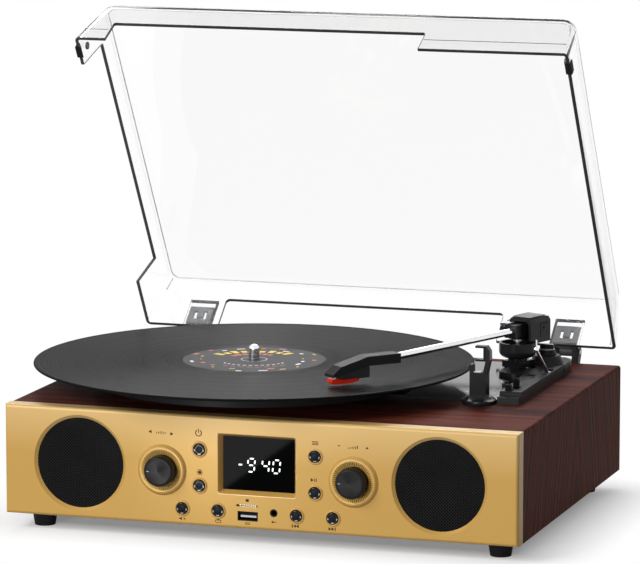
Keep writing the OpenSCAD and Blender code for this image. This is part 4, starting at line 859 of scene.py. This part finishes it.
PAPER = RECORD_TOP + 0.05
paper = lathe([(3.75, RECORD_TOP - 0.02), (3.75, PAPER), (48.6, PAPER), (49.0, RECORD_TOP + 0.02),
               (49.0, RECORD_TOP - 0.02), (3.75, RECORD_TOP - 0.02)], 128)
piece("label_disc", [paper], "label", "platter_body", (), DISC, centre=DISC_AT)


def label_mark(r0, r1, a, sweep, n):
    return arc_band(r0, r1, a, a + sweep, PAPER, PAPER + 0.015, n)


marks = {
    "label_gold": [label_mark(27.5, 35.5 - 2.5 * (i % 2), 38 + i * 12, 7.5, 6) for i in range(9)],
    "label_red": [label_mark(17.5, 22.0 + 1.5 * (i % 3), 50 + i * 13, 8.5, 6) for i in range(7)],
    "label_pale": [label_mark(24.0, 25.2, 212 + i * 9.6, 5.5, 4) for i in range(12)],
}
marks["label_red"] += [label_mark(30.5, 31.5, 226 + i * 11, 7.5, 4) for i in range(8)]
for i in range(26):
    r = 33.0 + (i * 7.7) % 13.0
    marks[("label_gold", "label_red", "label_pale")[i * 2 % 3]].append(
        label_mark(r, r + 1.2 + i % 3, i * 97.3 % 360, 3.0 + (i * 5) % 6, 5))
marks["label_pale"].append(label_mark(8.6, 9.0, 0, 359.9, 48))
for key, shapes in marks.items():
    piece(key + "_print", shapes, key, "platter_body", (), DISC @ turn(20, "Z"),
          centre=DISC_AT)


# Lid: a thin-walled clear moulding, notched round the record and the arm

LID_W, LID_D, LID_H, LID_T = 351.0, 263.8, 45.5, 2.5
TAPER, EDGE = 5.4, 1.8      # how far the walls lean in, and the radius of the top edge
CLOSER = 0.35               # keeps the rounded moulding inside the closed lid's own size
SLOPE = TAPER / (LID_H - EDGE)


def lid_loop(x_in, w, r):
    """The lid's outline drawn in by x_in all round, at height w over its rim."""
    x_in += CLOSER * max(0.0, w - 30) / 15
    pts = rounded(LID_W - 2 * x_in, LID_D - 2 * x_in, r, 8, 0, LID_Y - LID_D / 2)
    return [(x, y, LID_Z + w - CLOSER * max(0.0, w - 40) / 5.5) for x, y in pts]


def lid_shell():
    """Outer wall, round top edge and inner wall, closed at the top and at the rim."""
    flat = LID_H - EDGE
    outer, inner = [], []
    for k in range(5):
        f = k / 4
        outer.append(lid_loop(TAPER * f, flat * f, 3.5 + 5.5 * f))
        inner.append(lid_loop(LID_T + TAPER * f, (flat - 1.0) * f, 1.0 + 5.5 * f))
    for k in range(1, 6):
        a = math.pi / 2 * k / 5
        outer.append(lid_loop(TAPER + EDGE * (1 - math.cos(a)), flat + EDGE * math.sin(a),
                              9 - 0.4 * k / 5))
    inner.append(lid_loop(LID_T + TAPER + 0.5, LID_H - LID_T - 0.2, 6.2))
    inner.append(lid_loop(LID_T + TAPER + 1.0, LID_H - LID_T, 6.0))
    n = len(outer[0])
    vs, fs = loft(outer + inner[::-1])
    last = (len(outer) + len(inner) - 1) * n
    top, under = (len(outer) - 1) * n, len(outer) * n
    fs = [f for f in fs if not (top <= min(f) < top + n and max(f) >= under)]
    fs.append([top + i for i in range(n)])
    fs.append([under + i for i in range(n)][::-1])
    fs += [[last + i, last + (i + 1) % n, (i + 1) % n, i] for i in range(n)]
    return vs, fs


def notch(x0, x1, h, r, n=6):
    """An opening from x0 to x1 that runs up from the rim to h, with round upper corners."""
    arc = [math.pi / 2 * k / n for k in range(n + 1)]
    return ([(x0, -5), (x1, -5)]
            + [(x1 - r + r * math.cos(a), h - r + r * math.sin(a)) for a in arc]
            + [(x0 + r - r * math.sin(a), h - r + r * math.cos(a)) for a in arc])


CLEAR, CUT, WALL = range(3)


def lid_object(name, shape, place=None, cutter=False):
    """A bare mesh: clear stuff, its cut edge painted dark grey, and the front wall, tinted greyer
    along its depth; both colours are painted shade.
    """
    mesh = new_mesh(name, [shape], place)
    for key in ("clear", "edge", "wall"):
        mesh.materials.append(M[key])
    rim = LID_Z * MM + 1e-5
    front = to_row((0, LID_Y - LID_D + 12, 0))[1]
    for p in mesh.polygons:
        if cutter or all(mesh.vertices[i].co.z < rim for i in p.vertices):
            p.material_index = CUT
        else:
            p.material_index = WALL if abs(p.normal.z) < 0.5 and p.center.y < front else CLEAR
    return new_object(name, mesh)


def carve(o, cutters):
    """Cuts closed shapes out of an object and leaves a plain mesh."""
    for c in cutters:
        m = o.modifiers.new("cut", "BOOLEAN")
        m.operation = "DIFFERENCE"
        m.solver = "EXACT"
        m.object = c
    bpy.context.view_layer.update()
    done = bpy.data.meshes.new_from_object(o.evaluated_get(bpy.context.evaluated_depsgraph_get()))
    o.modifiers.clear()
    old, o.data = o.data, done
    bpy.data.meshes.remove(old)
    for c in cutters:
        bpy.data.objects.remove(c)


ROW = shift(*to_row((0, 0, 0))) @ Matrix.Scale(MM, 4)       # what to_row does, as a matrix
ALONG_X = Matrix(((0, 0, 1, 0), (1, 0, 0, 0), (0, 1, 0, 0), (0, 0, 0, 1)))
shell = lid_object("lid_moulding", lid_shell())
carve(shell, [
    lid_object("cut_front", prism(notch(-153, 71, 20.5, 1.2), -15, 15),
               shift(0, LID_Y - LID_D, LID_Z) @ UPRIGHT, True),
    lid_object("cut_rear", prism(notch(-120.6, 88, 26, 3), -15, 15),
               shift(0, LID_Y, LID_Z) @ UPRIGHT, True),
    lid_object("cut_side", prism([(-41.7, -1), (-39, 29), (-235.8, 29), (-239.8, -1)], -10, 10),
               shift(-LID_W / 2, LID_Y, LID_Z) @ ALONG_X, True),
])
shell.data.transform(ROW @ LID @ ROW.inverted())
soft(shell.data, 28)
round_edges(shell, 0.35, 50)
shell.visible_shadow = False
bpy.context.view_layer.update()
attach(shell, "lid_body")
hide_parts("lid")


def rear_block(x0, x1, w0, w1, out):
    """A block on the lid's rear wall, drawn closed: w over the rim, out from the wall."""
    vs = []
    for x in (x0, x1):
        for w in (w0, w1):
            y = LID_Y - SLOPE * w
            vs += [(x, y - 0.2, LID_Z + w), (x, y + out, LID_Z + w)]
    return vs, [[0, 1, 3, 2], [4, 6, 7, 5], [0, 4, 5, 1], [2, 3, 7, 6], [0, 2, 6, 4], [1, 5, 7, 3]]


def front_block(*sizes):
    """The same on the lid's front wall."""
    vs, fs = rear_block(*sizes)
    return [(x, 2 * LID_Y - LID_D - y, z) for x, y, z in vs], fs


# Step lines in the dark edge grey: painted shade.
piece("lid_steps", [front_block(-171.6, -154.2, 11.3, 11.8, 0.12),
                    front_block(72.4, 171.6, 11.3, 11.8, 0.12)], "edge", "lid_body",
      (), LID)

RIB_X, RIB_HALF, RIB_T, RIB_OUT = 137.2, 10.7, 1.4, 2.1


def rib_leg(side, a, top):
    """One leg of the rib round a hinge leaf, from a to a + RIB_T off the rib's middle."""
    ends = sorted(side * (RIB_X + k) for k in (a, a + RIB_T))
    return rear_block(*ends, 0.5, top, RIB_OUT)


for side, name in ((-1, "left"), (1, "right")):
    x = side * RIB_X
    # The rib's dark legs are painted shade; one leg stays clear.
    dark = [rib_leg(side, -RIB_HALF, 25),
            rear_block(x - RIB_HALF, x + RIB_HALF, 23.9, 25, RIB_OUT)]
    piece("lid_rib_dark_" + name, dark, "edge", "lid_body", (), LID, bevel=0.2)
    piece("lid_rib_clear_" + name, [rib_leg(side, RIB_HALF - RIB_T, 23.9)], "clear", "lid_body",
          (), LID, bevel=0.2)
    disc = moved(prism(circle(2.7, 32), 0, 1.3), shift(side * 171.4, LID_Y - 251, LID_Z + 7.2)
                 @ turn(-90 * side, "Y"))
    piece("bumper_disc_" + name, [disc], "edge", "lid_body", (), LID, bevel=0.3)

# Grey lines painted where the inner folds show, round the crown and down the corners: painted
# reflection, not a colour of the acrylic
CROWN = LID_H - LID_T
lines = [(0.9, 0.9, 6.3), (1.25, 0.55, 6.0), (1.6, 0.55, 5.8), (1.25, 1.0, 6.0)]
piece("lid_crown_line", [hoop([lid_loop(LID_T + TAPER + x_in, CROWN - under, r)
                               for x_in, under, r in lines])],
      "painted_fold_line", "lid_body", (), LID)
corners = []
for sx in (-1, 1):
    for sy in (-1, 1):
        ends = []
        for w, r in ((30.5 if sy < 0 or sx < 0 else 1.0, 4.5), (CROWN - 2, 6.4)):
            inset = LID_T + SLOPE * w + 0.3 * r
            ends.append((sx * (LID_W / 2 - inset), LID_Y - LID_D / 2 + sy * (LID_D / 2 - inset),
                         LID_Z + w))
        corners.append(rod(ends[0], ends[1], 0.45, 10))
piece("lid_corner_lines", corners, "painted_fold_line", "lid_body", (), LID)


# Arm: the textured pad, the housing's side groove and pivot, the bracket at the tube's root

pad = [box(-7.4, 4.3, 41.9, 7.4, 22.2, 42.15)]
pad += [box(-6.9 + i * 1.38, 4.9 + j * 1.4, 42.1, -6.2 + i * 1.38, 5.6 + j * 1.4, 42.45)
        for i in range(11) for j in range(12)]
piece("housing_pad", pad, "pad", "arm_swing_body", (), ARM)
groove = [box(9.45, 13.0, 27.5, 9.54, 13.5, 37.2), box(9.45, 13.0, 36.8, 9.54, 21.5, 37.2),
          moved(prism(circle(0.75, 20), 0, 0.08), shift(9.46, 17.2, 34.0) @ turn(90, "Y"))]
piece("housing_groove", groove, "cone", "arm_swing_body", (), ARM)
bracket = [box(-9.6, -7.6, 36.6, -4.6, -6.9, 38.6), box(-9.6, -7.6, 38.1, -3.0, 2.4, 38.7),
           box(-9.6, -7.6, 35.6, -8.9, -4.0, 38.6)]
piece("tube_bracket", bracket, "chrome", "arm_tilt_body", (), ARM, bevel=0.15)
REST_X, REST_Y = 123.6, -35.0
piece("rest_shelf", [box(REST_X - 2.8, REST_Y - 4.8, TOP + 21.55, REST_X + 2.4, REST_Y - 0.4,
                         TOP + 22.3)], "pale", "casing", (), bevel=0.2)
SKATE_X, SKATE_Y = 138.0, 85.0
wing = [prism(circle(5.5, 48), 17.75, 18.2), prism(rounded(9.4, 2.2, 0.9), 18.0, 21.5)]
piece("skate_wing", wing, "pale", "skate_body", (), shift(SKATE_X, SKATE_Y, TOP),
      bevel=0.3)


# Floor, backdrop light, lamps and camera

AMBIENT = 0.12                  # the white stage's strength as a light
NEAR_X, NEAR_Y = 0.17, 0.10     # metres: the box round the object where the floor is diffuse
FADE = 0.062                    # metres from that box to full white
SHADOW_LIFT = 0.20              # camera-only emission that keeps the shadow pale


def stage_level(t):
    """White where it is seen, directly or by reflection, and dim as a light."""
    path = t.nodes.new("ShaderNodeLightPath")
    seen = math_node(t, "MAXIMUM", path.outputs["Is Camera Ray"],
                     math_node(t, "MAXIMUM", path.outputs["Is Glossy Ray"],
                               path.outputs["Is Transmission Ray"]))
    return math_node(t, "MULTIPLY_ADD", seen, 1.0 - AMBIENT, AMBIENT)


def beyond(t, value, half):
    """How far a coordinate lies outside plus or minus half."""
    return math_node(t, "MAXIMUM", math_node(t, "SUBTRACT", math_node(t, "ABSOLUTE", value), half),
                     0.0)


def floor(half=6.0):
    """White, fading near the object into a diffuse floor that takes its shadow."""
    m = bpy.data.materials.new("studio_floor")
    m.use_nodes = True
    t = m.node_tree
    t.nodes.clear()
    x, y, z = split(t, coords(t))
    x, y = beyond(t, x, NEAR_X), beyond(t, y, NEAR_Y)
    far = math_node(t, "SQRT", math_node(t, "MULTIPLY_ADD", x, x, math_node(t, "MULTIPLY", y, y)))
    diffuse = add(t, "ShaderNodeBsdfDiffuse", Color=(0.93, 0.93, 0.935, 1))
    lift, white = (t.nodes.new("ShaderNodeEmission") for _ in range(2))
    camera_ray = t.nodes.new("ShaderNodeLightPath").outputs["Is Camera Ray"]
    t.links.new(math_node(t, "MULTIPLY", camera_ray, SHADOW_LIFT), lift.inputs["Strength"])
    t.links.new(stage_level(t), white.inputs["Strength"])
    near = t.nodes.new("ShaderNodeAddShader")
    mixer = t.nodes.new("ShaderNodeMixShader")
    out = t.nodes.new("ShaderNodeOutputMaterial")
    for source, socket in ((diffuse.outputs[0], near.inputs[0]), (lift.outputs[0], near.inputs[1]),
                           (span(t, far, 0.0, 1.0, 0.0, FADE), mixer.inputs[0]),
                           (near.outputs[0], mixer.inputs[1]), (white.outputs[0], mixer.inputs[2]),
                           (mixer.outputs[0], out.inputs["Surface"])):
        t.links.new(source, socket)
    mesh = bpy.data.meshes.new("floor")
    mesh.from_pydata([(-half, -half, 0), (half, -half, 0), (half, half, 0), (-half, half, 0)], [],
                     [[0, 1, 2, 3]])
    mesh.materials.append(m)
    o = new_object("floor", mesh)


def backdrop():
    w = bpy.data.worlds.new("studio")
    bpy.context.scene.world = w
    w.use_nodes = True
    t = w.node_tree
    t.nodes.clear()
    b = add(t, "ShaderNodeBackground", Color=(1, 1, 1, 1))
    t.links.new(stage_level(t), b.inputs["Strength"])
    t.links.new(b.outputs[0], t.nodes.new("ShaderNodeOutputWorld").inputs["Surface"])


def lamp(name, at, aim, size, power, roll=0.0):
    d = bpy.data.lights.new(name, "AREA")
    d.shape = "RECTANGLE"
    d.size, d.size_y = size
    d.energy = power
    o = new_object(name, d)
    o.location = at
    facing = (Vector(aim) - Vector(at)).to_track_quat("-Z", "Y").to_matrix().to_4x4()
    o.rotation_euler = (turn(roll, "Y") @ facing).to_euler()
    return o


floor()
backdrop()
lamp("key", (-1.5, -1.95, 1.7), (0, 0, 0.05), (1.3, 1.0), 48)
lamp("front", (-0.6, -2.8, 0.35), (0, 0, 0.06), (1.6, 0.6), 32.5)
lamp("back", (-0.5, 1.7, 1.5), (0, 0, 0.1), (1.6, 0.8), 22)
# A small lamp seen only in gloss: its reflection is the light half of the display
low = lamp("low_strip", (-0.0649, -0.2911, 0.0333), (-0.0649, 0.0, 0.0333), (0.0754, 0.0402),
           0.11, -36.6)
low.visible_camera = low.visible_diffuse = low.visible_transmission = False

VIEW = Vector((0.30444, -0.93974, 0.15557)).normalized()
TARGET = Vector((0.0071, -0.0000537, 0.1569))
DISTANCE = 3.00466
camera = bpy.data.cameras.new("camera")
camera.lens = 247.24
camera.sensor_width = 36.0
camera.clip_start = 0.1
camera.clip_end = 50.0
eye = new_object("camera", camera)
eye.location = TARGET + VIEW * DISTANCE
eye.rotation_euler = (-VIEW).to_track_quat("-Z", "Y").to_euler()
bpy.context.scene.camera = eye
bpy.context.scene.view_settings.view_transform = "Standard"
